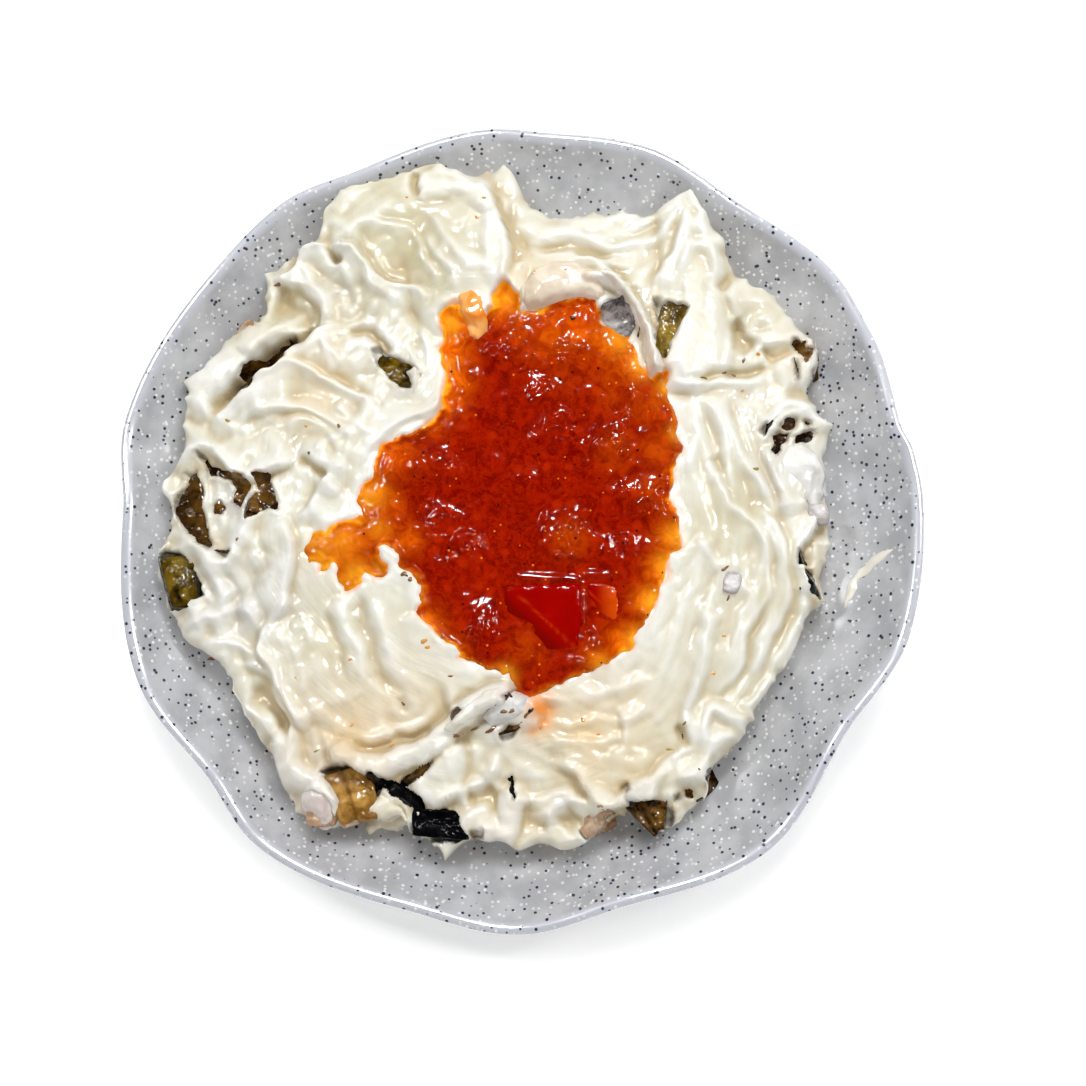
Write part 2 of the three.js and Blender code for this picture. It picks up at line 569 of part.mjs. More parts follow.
// Adds a chunk, cut clear of the chunks placed before it, and keeps its pocket.
function addChunk(name, { chunk, pocket }, look) {
  const clear = pockets.reduce((rest, earlier) => rest.subtract(earlier), chunk);
  pockets.push(pocket);
  addPiece(name, toGeometry(mainBody(clear)), look);
}

Object.entries(TOMATO).forEach(([name, piece], index) => {
  const placed = placedChunk(piece, index + 2, sauceTop, 1, TOMATO_SQUARENESS);
  addChunk(`tomato_${name}`, placed, TOMATO_LOOK);
});

Object.entries(EGGPLANT).forEach(([name, piece], index) => {
  const detail = Math.max(...piece.size) > LARGE_CHUNK ? 2 : 1;
  const placed = placedChunk(piece, index, yogurtTop, detail, EGGPLANT_SQUARENESS);
  addChunk(`eggplant_${name}`, placed, [FLESH_COLOURS[piece.flesh], EGGPLANT_ROUGHNESS]);
});

for (const pocket of pockets) {
  yogurt = yogurt.subtract(pocket);
  sauce = sauce.subtract(pocket);
}

addPiece("yogurt", toGeometry(mainBody(yogurt)), YOGURT_LOOK);
addPiece("sauce", toGeometry(mainBody(sauce)), SAUCE_LOOK);

export default dish;
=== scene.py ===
"""The looks of a dish of fried eggplant in thick yogurt with tomato sauce.

Lengths in this script are millimetres until a mesh is made, and +Z is up. The yogurt, sauce and
plate are worked out from nearly the same outlines and folds as the solids that they stand for.
Colours are linear.
"""
import math

import bpy
import numpy as np
from mathutils import Matrix, Vector


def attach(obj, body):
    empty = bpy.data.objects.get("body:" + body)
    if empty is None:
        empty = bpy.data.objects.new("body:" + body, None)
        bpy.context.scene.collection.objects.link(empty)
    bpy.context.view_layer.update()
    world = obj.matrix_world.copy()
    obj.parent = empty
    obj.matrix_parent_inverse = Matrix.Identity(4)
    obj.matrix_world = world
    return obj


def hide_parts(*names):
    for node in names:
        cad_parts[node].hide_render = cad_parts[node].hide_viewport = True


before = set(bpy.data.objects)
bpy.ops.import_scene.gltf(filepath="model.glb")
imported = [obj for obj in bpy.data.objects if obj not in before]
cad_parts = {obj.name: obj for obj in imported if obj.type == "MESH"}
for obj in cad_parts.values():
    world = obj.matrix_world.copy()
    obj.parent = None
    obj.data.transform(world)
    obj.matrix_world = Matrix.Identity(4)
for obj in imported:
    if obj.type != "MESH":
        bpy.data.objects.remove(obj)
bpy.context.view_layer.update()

MM = 0.001
BODY = "root"

# ---- Driving dimensions, as in the solids ----
PLATE_RADIUS = 100.0
PLATE_HEIGHT = 21.5
FOOT_RADIUS = 50.0
FOOT_WIDTH = 5.0
FOOT_HEIGHT = 1.8
FLOOR_LEVEL = 4.8
WAVE_START = 60.0
RIM_RISE = 1.6

MOUND = (-6.0, 5.0)
MOUND_REACH = 88.0
EDGE_LEVEL = 18.5
CROWN_LEVEL = 29.0
EDGE_WIDTH = 3.8
EDGE_SQUARENESS = 3.4

POOL_BED = 25.6
POOL_DEPTH = 2.6
POOL_FALL = 7.0
SAUCE_RISE = 4.2

# The outlines and folds on the food are traced as the camera sees them on one level, and the food
# stands higher, so they are drawn in towards the point below the camera.
BELOW_CAMERA = (35.8, -63.4)
CAMERA_LEVEL = 505.7
TRACED_LEVEL = 18.0

# ---- Outlines as (angle in degrees, radius) ----
RIM_WAVE = (
    (9.6, 99), (14, 97.2), (28, 99.3), (37, 100.4), (55, 97.2), (71, 100.5), (85, 99.2),
    (94, 100.6), (113, 98.5), (126, 101.6), (140, 100.4), (165, 102.3), (178, 98.3),
    (203, 101.6), (219, 98), (231, 101.4), (255, 98), (270, 100.2), (286, 96.9), (307, 100.6),
    (327, 95.2), (344, 99.8), (364, 99.7),
)
MOUND_EDGE = (
    (4, 81.5), (13, 84), (19, 82.5), (25, 90), (34, 86.5), (44, 84.5), (50, 87.5), (57, 90),
    (63, 80.5), (70, 77.5), (77, 74), (82, 76), (88, 84), (93, 84), (100, 88), (107, 86.5),
    (114, 88), (119, 86), (124, 80.5), (131, 81), (137, 78), (140.5, 75.5), (144, 78.5),
    (154, 80.5), (163, 81.5), (170, 78.5), (178, 82.4), (183, 81), (192, 85.7), (202, 83.5),
    (211, 78), (218, 79.5), (227, 81.5), (235, 87), (242, 90), (250, 83), (253.5, 79.7),
    (257, 84), (267, 82.8), (277, 85.4), (282, 87), (291, 82.8), (295, 84), (299, 90),
    (305, 89), (310, 84), (317, 83.8), (322, 81.5), (334, 82), (344, 83), (354, 83.6),
)
# Pulled-out tips of the yogurt: angle, reach, half width in degrees.
MOUND_TIPS = (
    (12.9, 3.0, 1.8), (57.7, 3.0, 2.2), (66.2, 2.0, 1.2), (88.4, 2.4, 1.6), (134.5, 3.6, 1.4),
    (158, 4.4, 1.8), (197, 1.6, 1.6), (237.5, 3.0, 1.6), (262.5, 5.4, 1.5), (297, 1.5, 1.4),
    (320, 2.0, 1.2), (343.2, 2.0, 1.2),
)
# The edge of the sauce in plan, round by the splash at the left and back along the right.
POOL_OUTLINE = (
    (-18.1, 54.9), (-18.9, 47.5), (-18.7, 40.1), (-17.7, 34.8), (-18.4, 29.3), (-20.4, 26.1),
    (-24.3, 23.9), (-29.5, 22.7), (-33.7, 19.6), (-35.2, 15.1), (-37.8, 10), (-39.4, 6.5),
    (-37.8, 2.6), (-41.5, 0.6), (-45.9, 0.6), (-48.2, -1.2), (-50.9, -1.4), (-52.1, -4.5),
    (-52.9, -8.2), (-50.5, -9.9), (-48.5, -11.9), (-46.9, -10.8), (-46.3, -8.8), (-45, -10.5),
    (-44.2, -13.9), (-43.2, -15.6), (-39.9, -16.4), (-38, -14.2), (-37.3, -12.4), (-35.9, -13.8),
    (-34.2, -14), (-32.4, -12.6), (-32.2, -9.9), (-33.6, -8.2), (-34.2, -6.4), (-33, -5.4),
    (-30.8, -5.6), (-29.4, -8), (-28.7, -10.2), (-26.2, -12.2), (-23.4, -15.3), (-23.2, -19.4),
    (-25.1, -21.9), (-20.4, -26.5), (-14.7, -32.2), (-7.3, -35.8), (-1.6, -36.2), (0.1, -41.3),
    (1.3, -42.4), (7.5, -41.3), (15.5, -37.9), (22.9, -34.5), (29.4, -29.3), (33.6, -20.2),
    (36.8, -14.5), (38.1, -8.3), (40.8, -6.6), (39.7, -2.6), (40.1, 1.4), (37.7, 7.1), (39.2, 13.4),
    (40.1, 20.2), (39.4, 26.5), (37.4, 31.6), (38.1, 37.9), (33.7, 35.6), (30.3, 40.1), (28.3, 46.4),
    (24.1, 49.2), (20.6, 51), (20.1, 56.1), (15.5, 56.9), (6.4, 54.1), (1.3, 53.5), (0.1, 58.4),
    (-2.7, 59.8), (-5.9, 57.6), (-4.8, 54.1), (-7.3, 51.9), (-9, 49.8), (-11.8, 51.5), (-15, 54.6),
)
# Lumps under the sauce: place, reach, height.
SAUCE_LUMPS = (
    ((23.5, 19.1), 6, 1.4), ((11.5, -3.7), 6, 1.5), ((-2.1, 41.8), 5.5, 1.4),
    ((-18.6, 14.5), 5, 1.0), ((9.8, 22.5), 5, 1.2), ((-12.4, -6), 4.5, 0.9),
    ((-19.8, 0.8), 5, 0.7), ((32, 4.3), 4, 0.8), ((25.8, -8.3), 4.5, 0.9), ((13.2, 43), 5, 0.7),
    ((6.4, 33.9), 4, 0.8), ((-8.4, -26.5), 5, 0.8), ((15.5, -32.2), 5, 0.9),
    ((27, 7.7), 3.5, 0.6), ((-14, 47), 3.5, 0.7), ((-42, -4), 3, 0.8), ((-46, -7), 2.5, 0.6),
    ((30, 30), 4, 0.7), ((24, 42), 3.5, 0.8), ((-28, 12), 4, 0.6), ((3, 10), 4, 0.5),
)
# Thin raised lines of sauce, round the tomato and over its pulp: half width, height, path.
SAUCE_LINES = (
    (1.0, 0.45, ((-0.9, -12.9), (5, -13.3), (9.9, -13.6), (13.9, -13.9), (15.6, -14.8), (16.5, -16))),
    (1.0, 0.45, ((16.2, -13.6), (16.7, -12.9), (18.9, -12.7), (22.1, -12.9), (24, -13.8))),
    (0.7, 0.45, ((16.4, -16.4), (16.3, -21), (16.5, -26.2))),
    (0.9, 0.45, ((17.4, -26), (19.2, -28.3), (18.4, -31.4))),
    (1.0, 0.40, ((20.9, 23.2), (22.6, 25), (25.3, 25.8), (28.4, 25.6))),
    (0.9, 0.40, ((9, 45.4), (11.6, 44.3), (13.4, 44.3), (16, 44.2), (17, 43))),
    (0.9, 0.40, ((2.8, 30.1), (4.7, 31.7), (6.4, 32.4), (8.6, 34.5))),
    (0.9, 0.35, ((-36.9, 5.6), (-35.4, 10), (-33.9, 14.6), (-32.4, 18.6))),
    (0.9, 0.35, ((-27.4, 21.2), (-24.3, 22.8), (-22, 25))),
    (0.8, 0.32, ((-8.6, 42.6), (-6.4, 44.6), (-4.2, 44.2))),
    (0.8, 0.32, ((-21, 15), (-17.6, 16.8), (-15, 16))),
    (0.8, 0.32, ((9.4, -1.6), (12, -0.4), (14.4, -1.4))),
    (0.8, 0.32, ((9, -7.6), (12, -8.6), (14.6, -7.4))),
    (0.8, 0.30, ((29.6, 4), (31.6, 6), (34, 5.6))),
    (0.8, 0.30, ((24, -5), (26.4, -3.8), (28.4, -5))),
    (0.8, 0.30, ((-15.6, -3.6), (-12.6, -2), (-10, -3.4))),
    (0.8, 0.30, ((-22, 1), (-19.4, 3), (-17, 2.4))),
    (0.8, 0.30, ((6.4, 22.4), (9, 24.4), (12, 23.6))),
    (0.8, 0.30, ((8.4, 27), (11, 28.6), (13.4, 27.4))),
    (0.9, 0.30, ((-20, -25.6), (-14.6, -30), (-7.6, -33.4))),
    (0.9, 0.35, ((-2.6, 51.6), (2, 52.4), (7, 51.6))),
)
# Where the sauce runs to orange: place, reach, strength.
ORANGE_ZONES = (
    ((-16, 52), 6, 1.0), ((-16, 44), 5, 1.0), ((-17, 37), 5, 0.9), ((-17, 31), 4, 0.6),
    ((-4, 56), 5, 1.0), ((6, 50), 7, 0.7), ((15, 50), 6, 0.7), ((24, 46), 6, 0.8),
    ((31, 40), 6, 0.8), ((16, 40), 9, 0.15), ((24, 36), 8, 0.2), ((34, 30), 6, 0.35),
    ((36, 18), 5, 0.4), ((25, 18), 5, 0.25), ((34, 8), 5, 0.25), ((13, -4), 4, 0.35),
    ((38, -4), 4, 0.9), ((36, -12), 4, 0.85), ((32, -20), 4, 0.8), ((26, -29), 4.5, 0.8),
    ((20, -34), 4, 0.6), ((-22, 26), 4, 0.7), ((-31, 17), 6, 0.6), ((-36, 8), 4, 1.0),
    ((-33, 4), 5, 0.7), ((-28, -4), 4, 0.7), ((-35, -2), 5, 1.0), ((-43, -5), 8, 1.0),
    ((-40, -13), 5, 1.0), ((-47, -9), 5, 1.0), ((-21, -25), 4, 0.6), ((-16, -32), 4, 0.6),
    ((3, -31), 5, 0.15), ((38, 4), 3, 0.9), ((39, 12), 3, 0.6),
)
# Where it is thin enough for the yogurt to show through: place, reach, strength.
THIN_ZONES = (
    ((-44, -5), 6, 0.45), ((-40, -13), 4, 0.9), ((-48, -9), 3.5, 1.0), ((-50, -3), 4, 0.8),
    ((-35, -1), 3, 0.5), ((-37, 7), 4, 0.7), ((-33, -10), 3, 0.9), ((-17, 51), 4, 0.55),
    ((-18, 40), 2.5, 0.4), ((-3, 58), 4, 0.75), ((27, 47), 4, 0.9), ((32, 40), 3.5, 0.8),
    ((40, -3), 3.4, 0.8), ((38, -11), 3.4, 0.8), ((34, -20), 3.2, 0.8), ((29.5, -28.5), 3, 0.8),
    ((-23, -26), 2, 0.6), ((40, 22), 2.5, 0.5), ((38, 34), 3, 0.6), ((-3, -38), 2.6, 0.7),
    ((21, -36), 3, 0.7),
)

# ---- Folds the spoon left in the yogurt ----
# kind, half width, height or depth, shape, path in plan. A lobe is a rounded dollop, whose shape
# is how fast its side falls; a flap has one steep side, on the right of its path at 1 and on the
# left at -1; then ridge, groove and scoop.
FOLDS = (
    # the dollop at the top left
    ("lobe", 15, 5.0, 0.9, ((-42, 76), (-31, 81), (-17, 78), (-12, 61))),
    ("flap", 9, 3.4, -1, ((-8, 88), (-7, 81), (-4, 76), (-3, 70), (-3, 63), (-4, 57))),
    ("ridge", 2.2, 1.5, 0, ((-49, 72), (-43, 72), (-38, 76), (-34, 79), (-30, 83))),
    ("flap", 6, 1.1, -1, ((-44, 73), (-37, 76), (-31, 75), (-26, 72), (-23, 67), (-21, 62),
                          (-20, 57))),
    ("ridge", 1.5, 0.9, 0, ((-24, 78), (-18, 74), (-13, 68), (-11, 60))),
    ("ridge", 1.3, 0.8, 0, ((-25, 73), (-20, 69), (-16, 62), (-15, 57))),
    ("lobe", 5.5, 1.8, 0.7, ((-20, 86), (-15, 86), (-10, 83))),
    ("groove", 1.1, 2.0, 0, ((-25, 90), (-25, 86), (-23, 83))),
    ("groove", 1.4, 0.9, 0, ((-23, 83), (-17, 81), (-10, 80))),
    ("ridge", 1.4, 0.9, 0, ((-11, 82), (-8, 78), (-7, 70), (-7, 62))),
    ("ridge", 1.2, 0.8, 0, ((-36, 66), (-30, 64), (-25, 60))),
    # folds at the upper left
    ("flap", 9, 3.4, -1, ((-63, 62), (-57, 64), (-54, 69), (-49, 70), (-43, 69), (-38, 66),
                          (-33, 62), (-27, 60), (-23, 57), (-21, 53))),
    ("groove", 1.2, 2.8, 0, ((-49, 71), (-47, 68), (-44, 65))),
    ("flap", 5, 2.4, 1, ((-64, 62), (-59, 61), (-53, 60), (-50, 57), (-49, 52), (-52, 48))),
    ("ridge", 1.3, 1.4, 0, ((-55, 66), (-51, 62), (-48, 57), (-47, 50))),
    ("ridge", 1.3, 1.0, 0, ((-46, 66), (-42, 62), (-41, 56), (-43, 51))),
    ("ridge", 1.4, 0.9, 0, ((-40, 64), (-36, 60), (-31, 57), (-27, 54))),
    ("scoop", 5, 3.4, 0, ((-62, 56), (-57, 54), (-54, 50))),
    ("lobe", 6.5, 3.0, 0.8, ((-81, 33), (-74, 40), (-66, 47), (-60, 50))),
    ("lobe", 5, 1.6, 0.8, ((-66, 47), (-60, 50), (-55, 54))),
    ("groove", 2.2, 3.6, 0, ((-79, 29), (-72, 33), (-64, 40), (-57, 46), (-51, 52))),
    ("flap", 9, 3.4, -1, ((-74, 30), (-68, 36), (-61, 41), (-55, 46), (-50, 49), (-44, 50))),
    ("ridge", 1.2, 0.9, 0, ((-56, 42), (-53, 45), (-49, 46), (-46, 43), (-45, 39))),
    ("ridge", 1.1, 0.8, 0, ((-54, 40), (-51, 43), (-48, 41), (-47, 38))),
    ("ridge", 1.0, 0.7, 0, ((-51, 38), (-50, 40), (-48, 38))),
    ("lobe", 7, 1.6, 0.9, ((-34, 58), (-32, 51), (-36, 46), (-43, 45))),
    ("groove", 1.0, 2.0, 0, ((-42, 47), (-38, 49), (-35, 46), (-33, 42))),
    ("ridge", 1.2, 1.2, 0, ((-28, 46), (-25, 40), (-27, 34), (-31, 31))),
    ("ridge", 1.1, 0.9, 0, ((-24, 52), (-22, 44), (-22, 37))),
    # the long smooth fold left of the pool
    ("flap", 8, 2.6, -1, ((-78, 22), (-75, 28), (-70, 33), (-63, 38), (-56, 40), (-49, 38),
                          (-43, 34), (-38, 31), (-32, 28))),
    ("scoop", 5, 2.0, 0, ((-58, 33), (-51, 34), (-44, 30), (-38, 27))),
    ("flap", 5, 1.6, 1, ((-70, 26), (-62, 30), (-54, 29), (-47, 26), (-40, 22))),
    ("ridge", 1.3, 1.0, 0, ((-60, 25), (-53, 26), (-46, 23), (-42, 17))),
    ("flap", 5, 1.5, -1, ((-16, 37), (-19, 32), (-24, 28), (-31, 25), (-36, 20), (-41, 14))),
    ("ridge", 1.2, 1.1, 0, ((-46, 31), (-43, 27), (-38, 24), (-34, 25))),
    ("ridge", 1.2, 1.0, 0, ((-50, 18), (-46, 22), (-42, 24))),
    # round the large piece of eggplant
    ("ridge", 2.6, 2.8, 0, ((-88, 3), (-88, 12), (-85, 17), (-80, 20), (-73, 18))),
    ("ridge", 2.0, 2.6, 0, ((-87, -2), (-82, -4), (-76, -8), (-72, -9), (-69, -4), (-66, 9))),
    ("flap", 7, 3.0, 1, ((-79, 19), (-75, 16), (-71, 14), (-65, 13), (-59, 16), (-55, 19))),
    ("groove", 1.1, 2.2, 0, ((-55, 19), (-51, 15), (-48, 10))),
    ("lobe", 4.5, 1.6, 0.8, ((-50, 18), (-46, 15), (-47, 10))),
    ("ridge", 2.0, 1.1, 0, ((-44, 27), (-42, 22), (-42, 17), (-45, 12))),
    # the left flank
    ("flap", 4.5, 2.4, -1, ((-57.5, 2), (-55.5, -4), (-55.5, -10.5), (-58, -18), (-62, -24))),
    ("lobe", 4.5, 0.9, 0.9, ((-60, 0), (-60, -8), (-62, -15), (-65, -20))),
    ("ridge", 2.4, 1.8, 0, ((-86, -5), (-80, -7), (-76, -11), (-73, -17), (-76, -22))),
    ("groove", 2.2, 1.2, 0, ((-68, -26), (-70, -21), (-65, -16), (-64, -8))),
    ("ridge", 1.8, 1.6, 0, ((-83, -27), (-75, -23), (-67, -22), (-62.5, -27))),
    ("ridge", 1.3, 0.9, 0, ((-78, -30), (-71, -28), (-66, -31), (-63, -36))),
    # the broad swath below the splash
    ("flap", 12, 3.0, 1, ((-60, -20), (-62.5, -27), (-63, -32), (-60, -38), (-56, -43),
                          (-54, -49), (-51, -54))),
    ("flap", 8, 1.8, 1, ((-47, 12), (-51, 6), (-53, 1))),
    ("ridge", 2.6, 0.5, 0, ((-53, -20), (-51, -30), (-49, -40))),
    ("ridge", 2.6, 1.2, 0, ((-45, -16), (-41, -26), (-38, -33), (-35, -40))),
    ("groove", 1.9, 1.4, 0, ((-41, -15), (-38, -26), (-35, -33), (-31, -41), (-28, -45))),
    ("ridge", 2.4, 0.8, 0, ((-36, -17), (-33, -27), (-29, -36), (-24, -43))),
    ("groove", 1.2, 0.7, 0, ((-47, -20), (-44, -30), (-42, -38))),
    ("groove", 0.9, 0.9, 0, ((-29.5, -43), (-27, -45.5))),
    ("scoop", 5, 1.8, 0, ((-32, -52), (-24, -48), (-15, -43))),
    ("groove", 1.1, 1.5, 0, ((-42, -54), (-34, -54), (-25, -52), (-17, -48))),
    ("ridge", 1.0, 0.8, 0, ((-40, -51), (-33, -52), (-26, -49), (-19, -44))),
    # the skirt at the lower left
    ("groove", 1.8, 2.2, 0, ((-67, -40), (-61, -44), (-58, -51), (-59, -56))),
    ("flap", 4, 1.7, 1, ((-71, -34), (-65, -36), (-59.5, -41), (-57, -48), (-56, -56))),
    ("ridge", 1.2, 1.2, 0, ((-68, -41), (-65, -46), (-61.5, -51.5), (-58, -57))),
    ("ridge", 1.2, 1.0, 0, ((-71, -45), (-67, -49), (-63, -54))),
    ("lobe", 4.6, 3.0, 0.8, ((-57, -55), (-55, -61), (-49, -64), (-43, -65))),
    ("lobe", 4, 2.0, 0.8, ((-49, -68), (-46, -70))),
    ("ridge", 2.2, 2.0, 0, ((-47, -53), (-44, -56), (-39, -59))),
    ("ridge", 1.1, 1.0, 0, ((-50, -50), (-48, -56), (-47, -61))),
    # the rope of yogurt along the bottom
    ("lobe", 3.6, 4.2, 0.6, ((-42, -57), (-35, -60), (-29, -59), (-22, -55), (-16, -50),
                             (-10, -45), (-4, -42))),
    ("lobe", 4.5, 2.6, 0.8, ((-4, -46), (3, -46))),
    ("lobe", 5.4, 3.4, 0.8, ((-20, -64), (-17, -59))),
    ("ridge", 1.7, 2.4, 0, ((-21, -70), (-17, -67), (-13, -65), (-7, -62), (-2, -57))),
    ("scoop", 4, 1.6, 0, ((-14, -68), (-10, -67), (-5, -65))),
    ("lobe", 4.2, 2.6, 0.8, ((-6, -76), (-2, -73), (-1, -69))),
    ("lobe", 3.4, 1.4, 0.8, ((-10, -74), (-8, -72))),
    ("ridge", 1.6, 1.6, 0, ((5, -74), (9, -70), (14, -68), (18, -68), (21, -71), (20, -76))),
    ("scoop", 3.6, 1.4, 0, ((10, -74), (15, -71))),
    ("flap", 10, 2.8, 1, ((7, -60), (13, -61), (17, -64), (20, -67), (23, -69), (28, -69),
                          (32, -67), (35, -63), (39, -59))),
    ("ridge", 1.8, 0.9, 0, ((-18, -48), (-11, -50), (-5, -52), (0, -56))),
    # the scoop at the lower right
    ("ridge", 1.6, 0.9, 0, ((4, -46), (11, -44), (23, -42), (34, -38))),
    ("ridge", 1.2, 0.8, 0, ((8, -50), (17, -48), (26, -48), (33, -45))),
    ("ridge", 1.3, 0.7, 0, ((6, -55), (14, -53), (22, -54), (29, -52))),
    ("flap", 6, 1.3, 1, ((24, -44), (27, -49), (26, -55), (21, -59))),
    ("flap", 6, 2.2, 1, ((41, -43), (40.5, -49), (40.5, -54), (37, -59), (31, -62.5),
                         (26, -66), (21, -70))),
    ("lobe", 2.6, 1.8, 0.7, ((21, -66), (24, -68.5))),
    ("groove", 1.0, 2.2, 0, ((40, -50), (41, -55))),
    ("ridge", 1.9, 2.2, 0, ((57, -48), (53, -48), (49, -47), (46, -50), (44, -55))),
    ("ridge", 1.5, 1.6, 0, ((55, -52), (51, -52), (47, -55), (45, -59), (41, -64))),
    ("ridge", 1.2, 1.2, 0, ((50, -58), (47, -61), (44, -62), (39, -63))),
    ("lobe", 4, 1.7, 0.8, ((30, -65), (35, -65), (43, -60))),
    ("flap", 4, 1.3, -1, ((-1, -70), (8, -67), (17, -67), (23, -70))),
    ("scoop", 3.4, 1.3, 0, ((2, -71), (8, -73))),
    # the right flank
    ("ridge", 1.7, 2.2, 0, ((44, -20), (46, -24), (46.5, -30), (45.5, -36), (42.5, -43),
                            (41, -48))),
    ("ridge", 1.4, 1.0, 0, ((46, -4), (48, -9), (50, -13))),
    ("ridge", 2.0, 1.8, 0, ((47, 32), (51, 28), (54, 22), (56, 16), (60, 10), (64, 4))),
    ("ridge", 1.8, 1.4, 0, ((47, 18), (49, 10), (52, 5), (57, 2), (62, -5), (65, -12))),
    ("flap", 5, 1.6, -1, ((52, 6), (58, -1), (61, -9.5), (61, -19), (57, -29), (53, -37),
                          (48.5, -43.5))),
    ("flap", 4, 1.5, -1, ((58, 5), (64, -2), (66.5, -11.5), (65, -22), (61, -32), (56, -41))),
    ("ridge", 1.3, 1.1, 0, ((56, -12), (57, -19), (54, -28), (50, -36))),
    ("ridge", 1.2, 1.0, 0, ((69, -14), (70, -21), (66, -30), (62, -37))),
    ("ridge", 1.2, 1.2, 0, ((71, -19), (71, -26), (68, -33))),
    ("ridge", 1.2, 1.0, 0, ((64, -38), (59, -44), (54, -46))),
    ("scoop", 4, 0.6, 0, ((49, 17), (51, 12))),
    ("flap", 9, 3.6, -1, ((75, 2), (72, -2), (70, -7), (71, -11), (73, -16), (75, -19))),
    ("ridge", 2.0, 2.4, 0, ((60, 22), (62, 26), (67, 29), (71, 29), (74, 26))),
    ("ridge", 1.2, 1.2, 0, ((60, 19), (63, 24), (69, 26.5), (75, 25), (78, 22))),
    ("flap", 5, 1.7, 1, ((61, 19), (63, 13), (66, 6), (68, 0))),
    ("flap", 6, 2.2, -1, ((73, 15), (72, 10), (71, 5), (72, 2))),
    ("ridge", 2.2, 1.1, 0, ((43, 33), (44, 26), (43, 18), (42, 11))),
    ("ridge", 1.6, 1.2, 0, ((45, 33), (51, 25), (53, 16.5), (52, 7))),
    # the top and the dollop at the upper right
    ("ridge", 1.3, 1.3, 0, ((9.5, 66), (21, 67), (31, 71), (38, 76), (43, 80.5))),
    ("ridge", 1.1, 1.0, 0, ((1.5, 68), (8.5, 72), (17, 71.5), (25, 70), (33, 73))),
    ("groove", 1.2, 1.0, 0, ((4.5, 69), (14, 69), (24, 68.5), (31, 70))),
    ("ridge", 2.4, 1.2, 0, ((-2, 78), (5, 74), (15, 74), (26, 76), (36, 78))),
    ("ridge", 2.0, 1.7, 0, ((-4, 57), (-1, 63), (5, 67), (14, 68), (21, 65), (27, 59))),
    ("lobe", 7.2, 3.0, 0.6, ((5, 59), (12, 61), (19, 59))),
    ("lobe", 2.2, 3.4, 0.6, ((19, 61), (24, 59.5), (29, 55), (32, 50), (33.5, 44), (34.5, 39))),
    ("scoop", 4, 3.0, 0, ((23, 54), (27, 50))),
    ("lobe", 10, 4.0, 0.9, ((43, 81), (45, 72), (46, 60), (45, 48), (43, 41))),
    ("flap", 7, 2.2, -1, ((34.5, 57.5), (36.5, 64), (39.5, 68), (41.5, 73), (43.5, 79))),
    ("ridge", 1.3, 1.1, 0, ((38, 60), (42, 66), (47, 68), (50, 63))),
    ("ridge", 1.9, 1.9, 0, ((44, 83), (46, 77), (49, 69), (51, 60))),
    ("groove", 1.2, 1.2, 0, ((50, 60), (52.5, 60), (55, 61.5))),
    ("flap", 5, 2.0, 1, ((52, 59), (54.5, 53.5), (57, 49.5), (61, 46), (66, 40))),
    ("scoop", 3.2, 1.8, 0, ((54, 51), (57, 46), (59, 43))),
    ("ridge", 1.2, 1.3, 0, ((60.5, 45), (62, 41), (62, 37))),
    ("scoop", 2.6, 1.6, 0, ((64, 44), (66, 39))),
    ("lobe", 5.5, 2.0, 0.8, ((58, 58), (63, 53), (68, 45), (69, 38))),
    ("groove", 1.3, 1.8, 0, ((38, 36.5), (45, 36), (51, 37), (58, 37), (64, 39))),
    ("ridge", 1.6, 1.5, 0, ((38, 34.5), (43, 35.5), (49, 34), (56, 34), (62, 35))),
    ("lobe", 4, 1.8, 0.8, ((73, 42), (73, 37))),
)

# Strokes that leave fine runs along them: half width, height of the runs, spacing, path.
STROKES = (
    (15, 0.05, 3.6, ((-37, 12), (-41, -8), (-39, -33), (-30, -43), (-15, -52))),
    (13, 0.24, 2.2, ((43, 32), (48, 15), (51, -3), (48, -23), (40, -43), (30, -55))),
    (10, 0.32, 2.4, ((56, 32), (63, 15), (68, -3), (65, -23), (58, -40), (49, -54))),
    (9, 0.22, 2.2, ((-4, 72), (10, 70), (25, 71), (38, 76))),
    (9, 0.22, 2.4, ((44, 82), (45, 67), (45, 50), (43, 37))),
    (11, 0.16, 2.6, ((-40, 70), (-32, 78), (-22, 82), (-12, 78), (-7, 67))),
    (11, 0.22, 2.6, ((0, -48), (13, -54), (28, -58), (40, -54))),
    (9, 0.22, 2.2, ((-10, -68), (3, -70), (18, -68), (30, -66))),
    (7, 0.2, 2.2, ((-80, 32), (-70, 42), (-57, 51), (-47, 57))),
    (10, 0.16, 2.6, ((-72, 22), (-62, 31), (-50, 33), (-37, 27), (-25, 22))),
    (9, 0.26, 2.4, ((-76, -8), (-69, -18), (-64, -30), (-59, -46), (-55, -58))),
    (8, 0.2, 2.4, ((-22, 60), (-30, 50), (-35, 32))),
)

